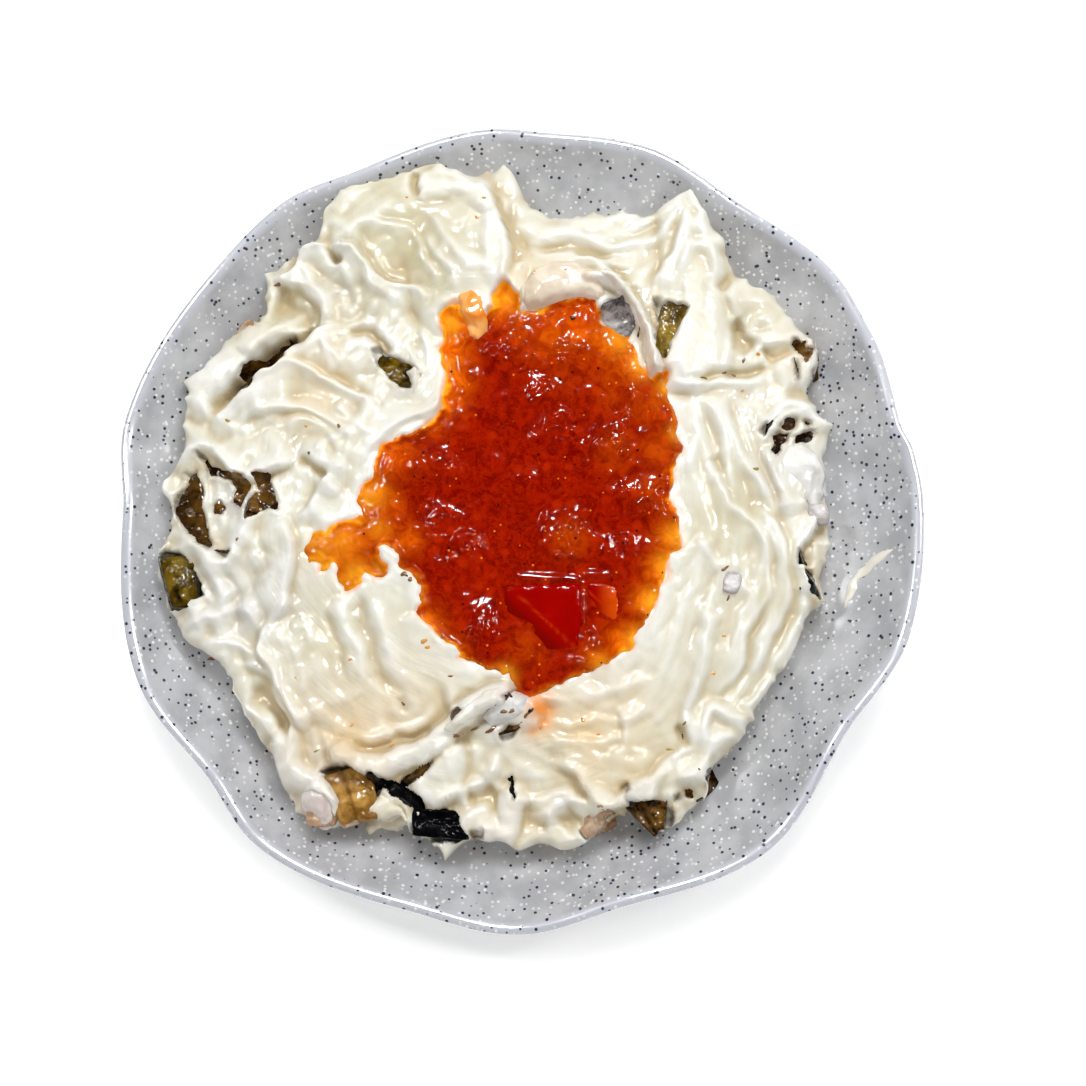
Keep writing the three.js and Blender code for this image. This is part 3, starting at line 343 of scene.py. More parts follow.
# ---- Chunks: place, size, turn, how far they stand proud, kind ----
EGGPLANT = {
    "left_large": ((-72, 5.5), (26, 24, 12), -25, 1.0, "brown"),
    "left_edge": ((-84, -14), (11, 16, 9), 10, 2.2, "olive"),
    "left_strip": ((-64, 41), (18, 7, 8), 48, 2.0, "brown"),
    "left_bit": ((-69, 50), (6, 5, 5), 30, 1.2, "tan"),
    "crown_left": ((-30, 39), (11, 11, 8), -20, 0.6, "olive"),
    "foot_golden": ((-40, -67), (15, 14, 9), 15, 1.4, "golden"),
    "foot_pale": ((-47.5, -71.5), (8, 6, 6), 0, 1.4, "tan"),
    "foot_skin": ((-29, -65.5), (17, 5, 7), -36, 1.4, "skin"),
    "foot_black": ((-18.2, -73.6), (14.6, 7, 7), -5, 1.6, "skin"),
    "foot_small": ((-25, -60.5), (9, 5, 5), 20, 1.2, "brown"),
    "below_pool": ((-6, -47.5), (20, 10, 8), 15, 0.8, "brown"),
    "front_slit": ((-1, -64.5), (3.5, 9, 5), 0, 0.8, "skin"),
    "front_tan": ((19.5, -73), (9, 7, 6), 25, 1.4, "tan"),
    "front_dark": ((33, -71.5), (13, 10, 8), 20, 1.6, "brown"),
    "front_right": ((44.5, -63.5), (9, 8, 7), 40, 1.4, "brown"),
    "right_upper": ((69, 22), (15, 10, 8), 15, 1.0, "dark"),
    "right_knob": ((74, 1.5), (5.5, 5.5, 5.5), 0, 1.6, "knob"),
    "right_dark": ((71.5, -13), (5.5, 12, 6), 5, 1.0, "skin"),
    "right_top": ((71.8, 40.5), (6.6, 10, 6), 12, 1.6, "brown"),
    "pool_right": ((38.5, 46), (9, 20, 8), -8, 1.0, "amber"),
    "pool_top": ((25, 51.5), (10, 11, 7), 20, 0.8, "grey"),
    "right_small": ((53, -15), (4.5, 5.5, 5), -15, 1.2, "knob"),
}
TOMATO = {
    "large": ((7.1, -24.3), (18.5, 16.3, 5), 2, 1.7),
    "right": ((21.4, -21.0), (7.6, 10.4, 5), -4, 1.1),
}

# Openings in the yogurt where fried eggplant shows: piece, depth, outline in plan.
OPENINGS = (
    ("left_large", 2.6, ((-82.9, 13.3), (-80.8, 13.8), (-79.7, 11.6), (-78.8, 8.1), (-79.2, 4.5),
        (-77.8, 1), (-77.4, -2.5), (-76.1, -6.1), (-78.7, -4.7), (-81.8, -1.8), (-84.5, 1.2),
        (-86, 5.2), (-85, 7.7), (-82.7, 9.5))),
    ("left_large", 2.4, ((-79.9, 18.6), (-77.8, 16.6), (-76.8, 15.1), (-72, 13.5), (-68.1, 12.3),
        (-67.1, 10.5), (-68.3, 7.7), (-69.7, 4.5), (-71.3, 5.8), (-70.4, 8.8), (-71.8, 11.6),
        (-74.8, 13), (-77.3, 12.4), (-78, 15.1), (-79.6, 17.3))),
    ("left_large", 2.6, ((-66.2, 13.1), (-62, 13.1), (-61.7, 9.5), (-60.6, 7), (-59.3, 3.7),
        (-62.3, 4.5), (-64.4, 3.7), (-67.8, 1.9), (-68.1, 4.4), (-66.2, 7.4), (-64.1, 8.8),
        (-65.3, 10.9))),
    ("left_large", 2, ((-75.9, -6.1), (-71.3, -6.4), (-72.7, -8.7))),
    ("left_large", 1.6, ((-75.9, 5.2), (-74.4, 6.3), (-73.4, 4.5), (-74.2, 2.8), (-75.5, 3.1))),
    ("left_edge", 8, ((-88.2, -5.6), (-86.4, -6.4), (-83.2, -7.8), (-81.1, -10.9), (-79.4, -14.4),
        (-78.5, -17.2), (-83.2, -18.7), (-84.6, -20.4), (-88.2, -20.8), (-91, -15.8),
        (-91.3, -11.6), (-90.6, -7.4))),
    ("left_strip", 3, ((-55.9, 47.8), (-57.4, 45.6), (-58.4, 42.6), (-61, 40.2), (-65.6, 38.4),
        (-69.4, 37), (-70.1, 38.2), (-68.4, 40.5), (-63.5, 42.6), (-60.3, 44.6), (-57.7, 47.1))),
    ("left_strip", 3, ((-72, 33.8), (-70.5, 36.1), (-67.7, 37.4), (-66.3, 36.6), (-67.3, 34.9),
        (-70.9, 32.6))),
    ("left_bit", 3, ((-71.9, 49.8), (-70.9, 51.8), (-69.1, 53.3), (-66.3, 53.2), (-64.9, 51.5),
        (-67.7, 50.6), (-70.5, 49.1))),
    ("crown_left", 3, ((-36.5, 43.9), (-34.6, 45), (-32.8, 42.8), (-28.9, 41.3), (-24.9, 39.3),
        (-24.3, 37.6), (-26.6, 34.1), (-29.5, 34.8), (-32.1, 37.5), (-34.6, 40.1), (-36, 42.1))),
    ("foot_golden", 7, ((-47.9, -60.8), (-44.5, -59), (-40.6, -59.9), (-36.8, -62.1),
        (-32.5, -63.8), (-34.9, -67.8), (-37.4, -74.7), (-40.6, -76.2), (-44.5, -74.5),
        (-44.1, -72.1), (-42.9, -68.1), (-45.3, -65.1))),
    ("foot_pale", 5, ((-52.2, -67.5), (-49.2, -65.9), (-45.3, -68.5), (-44.7, -72.8),
        (-45.3, -76.2), (-48.8, -76.2), (-50.9, -71.5))),
    ("foot_skin", 4, ((-38.3, -60.6), (-35, -61.5), (-30.7, -63.5), (-27.7, -64.7), (-23.3, -67.8),
        (-22, -70.4), (-22.8, -71.4), (-25.6, -69.4), (-29, -67.5), (-32.5, -64.6), (-35.9, -62.5))),
    ("foot_small", 3, ((-28.3, -63.2), (-24, -60.3), (-20.2, -58.4), (-22.6, -62.1), (-26, -64.2),
        (-28.3, -64.4))),
    ("foot_black", 8, ((-26, -74.1), (-23, -71.2), (-19.6, -70.5), (-15.3, -70.9), (-14, -73.5),
        (-11.8, -77.5), (-19.6, -78), (-25.9, -77.5))),
    ("foot_black", 4, ((-11, -75.7), (-8, -75.2), (-8.2, -77.5), (-10.5, -77.5))),
    ("front_tan", 5, ((15.6, -75.6), (17.2, -73.1), (20.2, -71.4), (23.5, -70.2), (23.9, -71.3),
        (21.6, -72.6), (19.6, -75.4), (17.2, -77.4))),
    ("front_dark", 8, ((26.9, -67.7), (30, -68.2), (33.5, -68), (38, -70.1), (38.5, -72.5),
        (37.1, -75.6), (34.8, -78.7), (30.9, -75.4), (29, -71.4))),
    ("front_right", 4, ((46, -61), (47.7, -59.8), (49.3, -61.5), (49.1, -64.9), (46.2, -64.7))),
    ("front_right", 2.5, ((40.9, -65.8), (43.1, -65.6), (42.9, -67.3), (41.6, -67))),
    ("front_right", 2.5, ((37.4, -69.4), (38.2, -67.1), (39.4, -66.5), (38.8, -68.5))),
    ("right_top", 3, ((68.5, 45.1), (69.8, 44.7), (70.3, 43.5), (69.2, 42), (68.4, 43.2))),
    ("right_top", 3, ((70, 43.2), (71.3, 44.2), (71.6, 42.8), (73.6, 42.5), (73.3, 40.9),
        (71.5, 39.1), (71.2, 40.6), (69.7, 42))),
    ("right_top", 3, ((73.6, 44.2), (75.1, 43.9), (75.4, 43.1), (73.9, 43.2))),
    ("right_top", 3, ((76.5, 42.5), (75.8, 41.1), (75, 39.8), (74.6, 40.9), (75.3, 42.1))),
    ("right_top", 2, ((68.6, 40.4), (69.3, 39.6), (69.8, 35.2), (69.1, 35.1))),
    ("right_top", 3, ((73.1, 36.9), (74.6, 38.2), (75.1, 37.6), (74.7, 36), (73.9, 35.1), (73.3, 36))),
    ("right_upper", 3, ((60.3, 22.5), (61.6, 24), (63.7, 25.3), (63.6, 24.4), (62.2, 23.1),
        (61.3, 21.5))),
    ("right_upper", 3, ((63, 21.6), (65.3, 22.2), (67.3, 21.8), (66.8, 20.1), (65.3, 18.7),
        (64.4, 16.1), (63.3, 17.9), (63.5, 20.1))),
    ("right_upper", 3, ((65.3, 23.9), (66.7, 25.3), (69, 25.3), (68.9, 23.5), (66.8, 22.7))),
    ("right_upper", 3, ((68.5, 21), (70.6, 22), (72.8, 22.9), (73.5, 21.4), (71.6, 20), (69.3, 19.6))),
    ("right_upper", 3, ((70.9, 24.9), (72.3, 24.6), (72.8, 23.4), (71.5, 23.9))),
    ("right_knob", 3, ((72.9, 13.9), (73.8, 13.4), (74.4, 10.8), (73.4, 11.5))),
    ("right_knob", 2.5, ((71.8, 10.2), (72.5, 10.2), (72.5, 4.1), (71.6, 4.5))),
    ("right_dark", 3, ((69.1, -7.2), (70.2, -7.9), (71.2, -10.7), (69.1, -10.7), (68.9, -9.1))),
    ("right_dark", 5, ((70.7, -11.7), (72, -12.4), (72.8, -15.4), (74.5, -19.4), (72.3, -17.5),
        (71.2, -14.7))),
    ("pool_right", 4, ((34.1, 56.4), (37.1, 55.4), (42.9, 53.6), (41.4, 50.9), (38.6, 45.9),
        (36.6, 40.1), (34.9, 41.6), (34.4, 45.9), (35.6, 50.1))),
    ("pool_top", 2, ((20.4, 53.1), (23.1, 55.6), (26.6, 56.6), (28.6, 54.1), (29.1, 49.6),
        (27.6, 46.1), (25.4, 47.6), (22.9, 50.1))),
    ("below_pool", 2.2, ((-8.9, -45.9), (-6.9, -43.6), (-4.9, -44.4), (-5.1, -46.9), (-7.4, -48.4))),
    ("below_pool", 2.2, ((-4.1, -51.6), (-1.6, -49.9), (0.4, -50.4), (-0.9, -52.6), (-3.4, -53.4))),
    ("below_pool", 2.2, ((-2.9, -42.9), (-0.6, -41.6), (1.6, -41.1), (2.6, -42.6), (0.4, -43.9),
        (-1.9, -44.4))),
    ("below_pool", 2.2, ((-15.9, -46.9), (-13.9, -45.6), (-11.9, -46.6), (-12.9, -48.6),
        (-14.9, -49.4))),
    ("front_slit", 3, ((-2.3, -63), (-1.2, -62.1), (-0.7, -63.6), (-0.1, -65.2), (-0.5, -67.8),
        (-1.2, -66.3), (-1.8, -65.2), (-1.5, -64))),
    ("front_tan", 2, ((24.7, -66.8), (25.5, -65.2), (27.1, -64.1), (27.4, -65), (26.2, -66.3))),
)
# How far below the yogurt around it a piece lies, where it is not at its own proud level.
SUNK = {
    "left_large": 0.6, "left_strip": 0.5, "left_bit": 0.2, "crown_left": 0.9, "foot_skin": 0.5,
    "foot_small": 0.7, "below_pool": 0.5, "front_slit": 0.8, "right_upper": 0.8,
    "right_top": 0.3, "pool_right": 1.1, "pool_top": 0.3, "right_dark": 0.4,
    "front_right": 0.5, "front_tan": 0.3,
}

# Tongues and flakes that lie over the rest: rise, roundness of the edge, tone, outline.
DRAPES = {
    "dome": (3.2, 1.2, "beige", ((1.8, 55), (1.5, 58.5), (3, 61.8), (6, 64.2), (10, 65.6),
        (14, 65.4), (18, 63.4), (20.8, 60.4), (21.9, 57), (20.6, 55.6), (16, 56.6), (11, 55.6),
        (6, 53.8), (3, 53.6))),
    "curl": (2.4, 0.9, "white", ((20.5, 62.4), (25.6, 57.6), (29.2, 53), (31.2, 47.6), (32, 42),
        (32.6, 38.4), (33.8, 36.7), (35.8, 36.8), (36.7, 38.6), (36, 40.6), (34.6, 43),
        (33.9, 48), (32.4, 53), (29.6, 58), (25.6, 62.4), (22.6, 64))),
    "tongue": (0.9, 1.1, "peach", ((-14.5, 57), (-11, 58.2), (-8.4, 56.4), (-7.4, 52.5),
        (-7.8, 48.6), (-9.6, 46.6), (-11.6, 47.4), (-12.6, 50.5), (-14, 53.5))),
    "petal": (1.4, 0.7, "cream", ((1.2, 54.8), (2.6, 55.8), (3.8, 59.2), (3.6, 61.6), (2.5, 60.6),
        (1, 57.6))),
    "flake": (1.0, 0.4, "white", ((-27.6, 38.9), (-25.8, 39.7), (-24.1, 37.4), (-25.1, 34.6),
        (-26.5, 32.5), (-26.3, 35.6))),
    "bulb": (2.4, 1.4, "pink", ((-52.6, -66.6), (-50, -64.4), (-46.5, -65.3), (-44.5, -69),
        (-44.8, -72.6), (-47.2, -74.2), (-50, -72.4), (-52.2, -69.6))),
    "sheet": (1.3, 0.6, "cream", ((-33.2, -65.8), (-29.2, -69.3), (-26.8, -73.2), (-30, -75.6),
        (-34, -74.4), (-37, -76), (-38, -74.6), (-36, -71), (-34.6, -68))),
    "coat": (1.5, 1.2, "pearl", ((64.4, 14.8), (67, 18.4), (71, 18.9), (74.4, 16), (76, 11),
        (75.4, 5.6), (73.4, 1.8), (71.6, 4.6), (70.3, 8), (67, 10.5), (65, 12.3))),
    "leaf": (2.2, 0.8, "white", ((-17.5, -50.8), (-12.5, -45.4), (-7, -41.8), (-4.2, -41),
        (-3.4, -43.4), (-7.4, -46.4), (-12, -49.4), (-15, -51.8))),
    "lump": (2.4, 1.3, "pearl", ((-8, -47.8), (-4.6, -44), (-0.4, -41.9), (2.8, -43),
        (2.2, -46.6), (-2, -48.4), (-6, -49.8))),
}

# The smear of yogurt on the bare plate, with its half width at shares of the way along it.
PLATE_SMEAR = ((80.6, -21.4), (82.2, -17.4), (83.6, -13.8), (85.4, -12), (88.9, -8.7), (93.7, -6.4))
SMEAR_WIDTHS = ((0, 0.1), (0.15, 0.6), (0.3, 1.4), (0.4, 0.5), (0.5, 1.2), (0.8, 0.9), (1, 0.1))

# Bits on the surface: tone, then place, length, width and turn of each.
SPECKS = {
    "brown": (((-60.6, 61.1), 1.8, 0.9, 10), ((-28.0, -12.4), 1.5, 1.3, 60), ((-26.4, -13.8), 1.4, 1.0, 20),
        ((-77.8, -32.6), 2.2, 0.9, 20), ((-16.3, -37.7), 1.2, 0.6, 10),
        ((-28.1, -44.4), 1.3, 0.7, -30), ((52, -18.8), 1.4, 0.7, 70),
        ((51.2, -11.6), 2.0, 0.9, 30), ((-44.4, 24.6), 1.2, 0.9, 80), ((-51.9, 17.9), 0.9, 0.7, 0),
        ((-69.2, -3.8), 1.0, 0.7, 30), ((54, 36.9), 1.6, 0.7, -12), ((51.6, 37.3), 1.2, 0.6, 15),
        ((46.6, 35.8), 1.7, 0.7, 8), ((2.6, -47.4), 1.8, 0.9, 60), ((-10.2, -50.6), 2.0, 0.8, 30),
        ((56.4, 40.2), 1.5, 0.8, 50), ((-14.6, -52.4), 1.6, 0.8, 30), ((-2.8, -46.6), 1.8, 1.0, 20),
        ((-0.8, -46.4), 1.8, 0.9, 20), ((0.3, -49.9), 2.8, 0.9, 30), ((-6.1, -50.9), 3.2, 1.1, 25)),
    "orange": (((-27.3, 81.9), 1.0, 0.6, 0), ((-9.6, 76.1), 1.0, 0.8, 0), ((-52.9, 24.9), 0.9, 0.7, 0),
        ((50.8, -28), 0.9, 0.9, 0), ((48.2, -37.2), 1.1, 0.9, 40), ((16.3, -48.5), 1.3, 1.0, 0),
        ((-40.5, -49.6), 1.4, 0.7, 70), ((-30.7, -54.7), 1.6, 0.6, 15), ((-54, -38.2), 0.9, 0.7, 0),
        ((-41, -33.6), 1.2, 0.7, 30), ((60, 41.6), 1.2, 0.7, 0), ((56, 32.6), 1.0, 0.6, 0),
        ((4.6, 62), 0.9, 1.2, 0), ((12.6, 62.6), 0.9, 0.7, 0), ((-22.9, -29.1), 1.6, 1.3, 40),
        ((-22.0, -30.6), 1.2, 1.0, 40), ((20, -52), 0.9, 0.7, 0), ((6, -50.4), 1.0, 0.8, 20)),
    "olive": (((59.1, 12.9), 1.4, 1.0, 20), ((37.4, -55.7), 2.2, 0.6, -10), ((-49, -56), 1.6, 0.5, 20),
        ((-7.6, 80.4), 1.6, 0.5, -10), ((41, -49.4), 1.4, 0.6, 60), ((-72.4, 26.2), 1.2, 0.8, 0)),
    "black": (((14.1, 51.1), 1.0, 1.0, 0), ((40.5, -52.3), 0.5, 2.2, 0), ((30.4, 47.6), 0.7, 2.4, -10),
        ((-27.2, -12.9), 0.7, 0.5, 40), ((-1.7, -42.6), 2.6, 1.1, -25), ((3.6, -46.4), 2.0, 0.9, 55)),
}

# How much narrower a piece is at its lower end.
TAPERS = {"front_dark": 0.8, "foot_golden": 0.4, "left_edge": 0.25}
# Pieces that are cut square.
PLANKS = ("foot_golden", "front_dark", "foot_black")
# Furrows along a piece: how far right of its middle, half width, depth.
FURROWS = {"foot_golden": (-1.2, 0.7, 1.4), "front_dark": (-2.5, 0.9, 1.4), "left_edge": (3.0, 1.0, 0.8)}

# Where the yogurt is tinted: place, reach, strength.
WARM_TINTS = (
    ((-42, -52), 14, 0.9), ((-28, -46), 10, 0.7), ((18, -52), 14, 0.8), ((4, 61), 8, 0.45),
    ((-50, 36), 12, 0.35), ((0, -72), 14, 0.25), ((28, -44), 8, 0.4), ((68, 42), 6, 0.4),
)
IVORY_TINTS = (
    ((-30, 72), 20, 1.0), ((-22, 62), 12, 0.7), ((-60, 52), 12, 0.8), ((-55, 32), 14, 0.35),
    ((-45, -30), 22, 0.5), ((0, -62), 24, 0.2), ((28, -54), 20, 0.45), ((52, 4), 14, 0.75),
    ((62, -20), 16, 0.7), ((60, 48), 12, 0.5), ((-78, 18), 10, 0.6), ((56, -42), 14, 0.5),
    ((-46, 14), 10, 0.3), ((14, -56), 10, 0.7), ((46, 66), 12, 0.35),
)
STAINS = (((6, -45.5), 3.2, 1.0), ((6.5, -49), 2.2, 0.7), ((4, -51), 1.8, 0.6), ((36, 37), 2.5, 0.5))
COOL_TINTS = (
    ((-66, -18), 10, 0.8), ((68, 13), 7, 0.8), ((-50, -64), 8, 0.5), ((-72, 6), 6, 1.0),
    ((25, 50), 5, 0.7), ((53, -15), 4, 0.6), ((-44, 62), 7, 0.3), ((-3, -48), 6, 0.5),
)

# ---- Surface of the yogurt, sauce and pieces ----
CRUMPLE_HEIGHT = 0.9
SMEAR_HEIGHT = 0.13
GRAIN_HEIGHT = 0.06
LIP_HEIGHT = 0.35
# An opening deeper than this has no browned rim.
DEEP_OPENING = 4.5
# How far in radians the edge of the mound turns in under itself.
UNDERCUT = 0.42
# How far the wet lines lie below the sauce at their borders, and rise from there.
WET_LINE_SINK = 0.1
WET_LINE_RISE = 0.14
SMEAR_THICKNESS = 0.6
# The height of a bit as a share of its smaller width, and how far it is pressed in.
SPECK_HEIGHT = 0.45
SPECK_SINK = 0.05
# How square a piece is cut, from 0 for a ball to 1 for a block, and how rough it is.
PLANK_SQUARENESS = 0.85
PIECE_SQUARENESS = 0.45
PIECE_ROUGHNESS = 0.7
TOMATO_SQUARENESS = 0.85
TOMATO_ROUGHNESS = 0.12

# ---- Mesh fineness ----
# The mound's mesh is rings, coarse in the middle where the sauce hides them.
MEAN_EDGE_RADIUS = 82.0
EDGE_BAND = 6.0
EDGE_STEPS = 17
HIDDEN_REACH = 20.0
HIDDEN_STEP = 1.6
YOGURT_STEP = 0.5
SAUCE_STEP = 0.33
DRAPE_STEP = 0.35
PLATE_SEGMENTS = 360
SPECK_SIDES = 12


# ======== Small mathematics ========
def smoothstep(low, high, value):
    share = np.clip((value - low) / (high - low), 0.0, 1.0)
    return share * share * (3.0 - 2.0 * share)


def mix(first, second, share):
    return first + (second - first) * share


def outline_radius(outline, angle):
    """The radius of an outline at angles in radians, eased between its listed points."""
    marks = np.array([at for at, _ in outline] + [outline[0][0] + 360.0], dtype=float)
    radii = np.array([radius for _, radius in outline] + [outline[0][1]], dtype=float)
    turn = (np.degrees(angle) - marks[0]) % 360.0 + marks[0]
    before = np.clip(np.searchsorted(marks, turn, side="right") - 1, 0, len(outline) - 1)
    share = smoothstep(marks[before], marks[before + 1], turn)
    return mix(radii[before], radii[before + 1], share)


def lattice_value(column, row, seed):
    """A repeatable random number from 0 to 1 for each cell of a lattice."""
    mixed = (column.astype(np.int64) * 374761393 + row.astype(np.int64) * 668265263 + seed * 1442695041)
    mixed = (mixed ^ (mixed >> 13)) & 0xFFFFFFFF
    mixed = (mixed * 1274126177) & 0xFFFFFFFF
    mixed = (mixed ^ (mixed >> 16)) & 0xFFFFFFFF
    return mixed / 4294967295.0


def soft_noise(x, y, seed):
    """Smooth noise from -1 to 1 with features about one unit across."""
    column = np.floor(x)
    row = np.floor(y)
    u = x - column
    v = y - row
    u = u * u * u * (u * (6 * u - 15) + 10)
    v = v * v * v * (v * (6 * v - 15) + 10)
    low = mix(lattice_value(column, row, seed), lattice_value(column + 1, row, seed), u)
    high = mix(lattice_value(column, row + 1, seed), lattice_value(column + 1, row + 1, seed), u)
    return 2.0 * mix(low, high, v) - 1.0


def layered_noise(x, y, size, layers, seed):
    """Noise of a given largest size with finer, weaker layers on it."""
    total = np.zeros_like(x)
    weight = 1.0
    sum_of_weights = 0.0
    for layer in range(layers):
        turn = 0.7 + 1.1 * layer
        across = (x * math.cos(turn) - y * math.sin(turn)) / size
        along = (x * math.sin(turn) + y * math.cos(turn)) / size
        total += weight * soft_noise(across, along, seed + 31 * layer)
        sum_of_weights += weight
        weight *= 0.5
        size *= 0.5
    return total / sum_of_weights


def spline_points(path, steps):
    """Points along a smooth curve through the points of a path."""
    points = np.array(path, dtype=float)
    padded = np.vstack([points[:1], points, points[-1:]])
    curve = []
    for i in range(len(points) - 1):
        p0, p1, p2, p3 = padded[i:i + 4]
        for t in np.arange(steps) / steps:
            curve.append(0.5 * (2 * p1 + (p2 - p0) * t + (2 * p0 - 5 * p1 + 4 * p2 - p3) * t * t
                                + (3 * p1 - p0 - 3 * p2 + p3) * t ** 3))
    curve.append(points[-1])
    return np.array(curve)


def beside_line(line, x, y):
    """Signed distance to the left of a line, share of the way along it, and its length."""
    steps = line[1:] - line[:-1]
    lengths = np.hypot(steps[:, 0], steps[:, 1])
    travelled = np.concatenate([[0.0], np.cumsum(lengths)])
    nearest = np.full(x.shape, np.inf)
    across = np.zeros_like(x)
    along = np.zeros_like(x)
    for i, step in enumerate(steps):
        from_x = x - line[i, 0]
        from_y = y - line[i, 1]
        share = np.clip((from_x * step[0] + from_y * step[1]) / lengths[i] ** 2, 0.0, 1.0)
        away_x = from_x - share * step[0]
        away_y = from_y - share * step[1]
        away = np.hypot(away_x, away_y)
        closer = away < nearest
        side = np.where(step[0] * away_y - step[1] * away_x >= 0.0, 1.0, -1.0)
        nearest = np.where(closer, away, nearest)
        across = np.where(closer, side * away, across)
        along = np.where(closer, travelled[i] + share * lengths[i], along)
    return across, along / travelled[-1], travelled[-1]


def polygon_inset(outline, x, y):
    """How far inside a closed outline each point lies; negative outside it."""
    corners = np.array(outline, dtype=float)
    after = np.roll(corners, -1, axis=0)
    nearest = np.full(x.shape, np.inf)
    inside = np.zeros(x.shape, dtype=bool)
    for (x0, y0), (x1, y1) in zip(corners, after):
        step_x, step_y = x1 - x0, y1 - y0
        share = np.clip(((x - x0) * step_x + (y - y0) * step_y) / (step_x ** 2 + step_y ** 2), 0.0, 1.0)
        away = (x - x0 - share * step_x) ** 2 + (y - y0 - share * step_y) ** 2
        nearest = np.minimum(nearest, away)
        if y0 != y1:
            crosses = ((y0 > y) != (y1 > y)) & (x < x0 + (y - y0) * step_x / step_y)
            inside ^= crosses
    return np.where(inside, 1.0, -1.0) * np.sqrt(nearest)


# ======== The plate ========
PLATE_UNDERSIDE = (
    (0, FOOT_HEIGHT), (FOOT_RADIUS - FOOT_WIDTH - 1.5, FOOT_HEIGHT), (FOOT_RADIUS - FOOT_WIDTH, 0),
    (FOOT_RADIUS, 0), (FOOT_RADIUS + 2, 1.1), (66, 2.7), (80, 6.7), (91, 12.6), (97.6, 17.9),
)
PLATE_LIP = ((PLATE_RADIUS, 20.2), (99.7, 21.2), (98.4, PLATE_HEIGHT), (96.8, 20.7))
PLATE_INSIDE = ((93.5, 17.2), (87, 12.6), (79, 9), (68, 6.3), (54, 5), (0, FLOOR_LEVEL))


def rim_shift(angle, radius):
    share = smoothstep(WAVE_START, PLATE_RADIUS, radius)
    crest = outline_radius(RIM_WAVE, angle) - PLATE_RADIUS
    return crest * share, -crest * share * share * RIM_RISE / 4.0


def plate_top(x, y):
    angle = np.arctan2(y, x)
    reach = np.hypot(x, y)
    radius = reach
    for _ in range(4):
        radius = reach - rim_shift(angle, radius)[0]
    marks = np.array(PLATE_LIP[-1:] + PLATE_INSIDE, dtype=float)[::-1]
    return np.interp(radius, marks[:, 0], marks[:, 1]) + rim_shift(angle, radius)[1]


# ======== The yogurt ========
def mound_radius(angle):
    radius = outline_radius(MOUND_EDGE, angle)
    turn = np.degrees(angle)
    for at, reach, width in MOUND_TIPS:
        away = np.abs((turn - at + 180.0) % 360.0 - 180.0)
        radius = radius + reach * np.exp(-away / width)
    ragged = soft_noise(angle * 14.0, np.zeros_like(angle), 3) * 0.7
    cusps = 0.9 * (0.5 - np.abs(soft_noise(angle * 23.0, np.zeros_like(angle), 5)))
    return radius + ragged + cusps + soft_noise(angle * 37.0, np.zeros_like(angle), 4) * 0.35


def spread(x, y):
    """How much larger the food looks at a point, for standing above the traced level."""
    reach = np.hypot(x - MOUND[0], y - MOUND[1])
    dome = 1.0 - np.minimum(reach / MOUND_REACH, 1.0) ** 2.2
    level = EDGE_LEVEL + (CROWN_LEVEL - EDGE_LEVEL) * dome
    return (CAMERA_LEVEL - TRACED_LEVEL) / (CAMERA_LEVEL - level)


def traced(x, y):
    """Where a point of the food lies on the traced outlines."""
    grow = spread(x, y)
    return BELOW_CAMERA[0] + (x - BELOW_CAMERA[0]) * grow, BELOW_CAMERA[1] + (y - BELOW_CAMERA[1]) * grow


def untraced(x, y):
    """The true place of a point of the traced outlines."""
    grow = spread(x, y)
    return BELOW_CAMERA[0] + (x - BELOW_CAMERA[0]) / grow, BELOW_CAMERA[1] + (y - BELOW_CAMERA[1]) / grow


def untraced_outline(outline):
    corners = np.array(outline, dtype=float)
    return np.stack(untraced(corners[:, 0], corners[:, 1]), axis=1)


def pool_inset(x, y):
    x, y = traced(x, y)
    ragged = 0.7 * soft_noise(x / 2.6, y / 2.6, 11) + 0.45 * soft_noise(x / 1.1, y / 1.1, 12)
    bent_x = x + 0.8 * soft_noise(x / 3.1, y / 3.1, 13)
    bent_y = y + 0.8 * soft_noise(x / 3.1, y / 3.1, 14)
    return polygon_inset(POOL_OUTLINE, bent_x, bent_y) + ragged * 0.7


def pool_bed(inset):
    return POOL_BED - POOL_DEPTH * (1.0 - np.exp(-np.maximum(inset, 0.0) / POOL_FALL))


def wobble(x, y):
    shift_x = np.sin(0.31 * x + 0.17 * y + 0.4) + 0.6 * np.sin(0.11 * x - 0.43 * y + 2.1)
    shift_y = np.sin(0.14 * x - 0.33 * y + 1.7) + 0.6 * np.sin(0.47 * x + 0.13 * y + 0.9)
    fine_x = 0.5 * soft_noise(x / 3.2, y / 3.2, 21)
    fine_y = 0.5 * soft_noise(x / 3.2, y / 3.2, 22)
    return x + 0.7 * shift_x + fine_x, y + 0.7 * shift_y + fine_y


def fold_height(kind, width, height, shape, across, along):
    away = np.abs(across) / width
    ends = smoothstep(0.0, 0.2, along) * smoothstep(0.0, 0.2, 1.0 - along)
    if kind == "lobe":
        return height * np.maximum(1.0 - away * away, 0.0) ** shape
    if kind == "flap":
        inward = across * shape
        slope = np.clip(1.0 - inward / (2.2 * width), 0.0, 1.0) ** 2
        face = smoothstep(-1.3, 0.1, inward)
        return height * ends * np.where(inward >= 0.1, slope, face)
    if kind == "ridge":
        return height * (0.1 + 0.9 * ends) * np.exp(-away ** 1.3)
    return -height * ends * np.exp(-away ** 2)


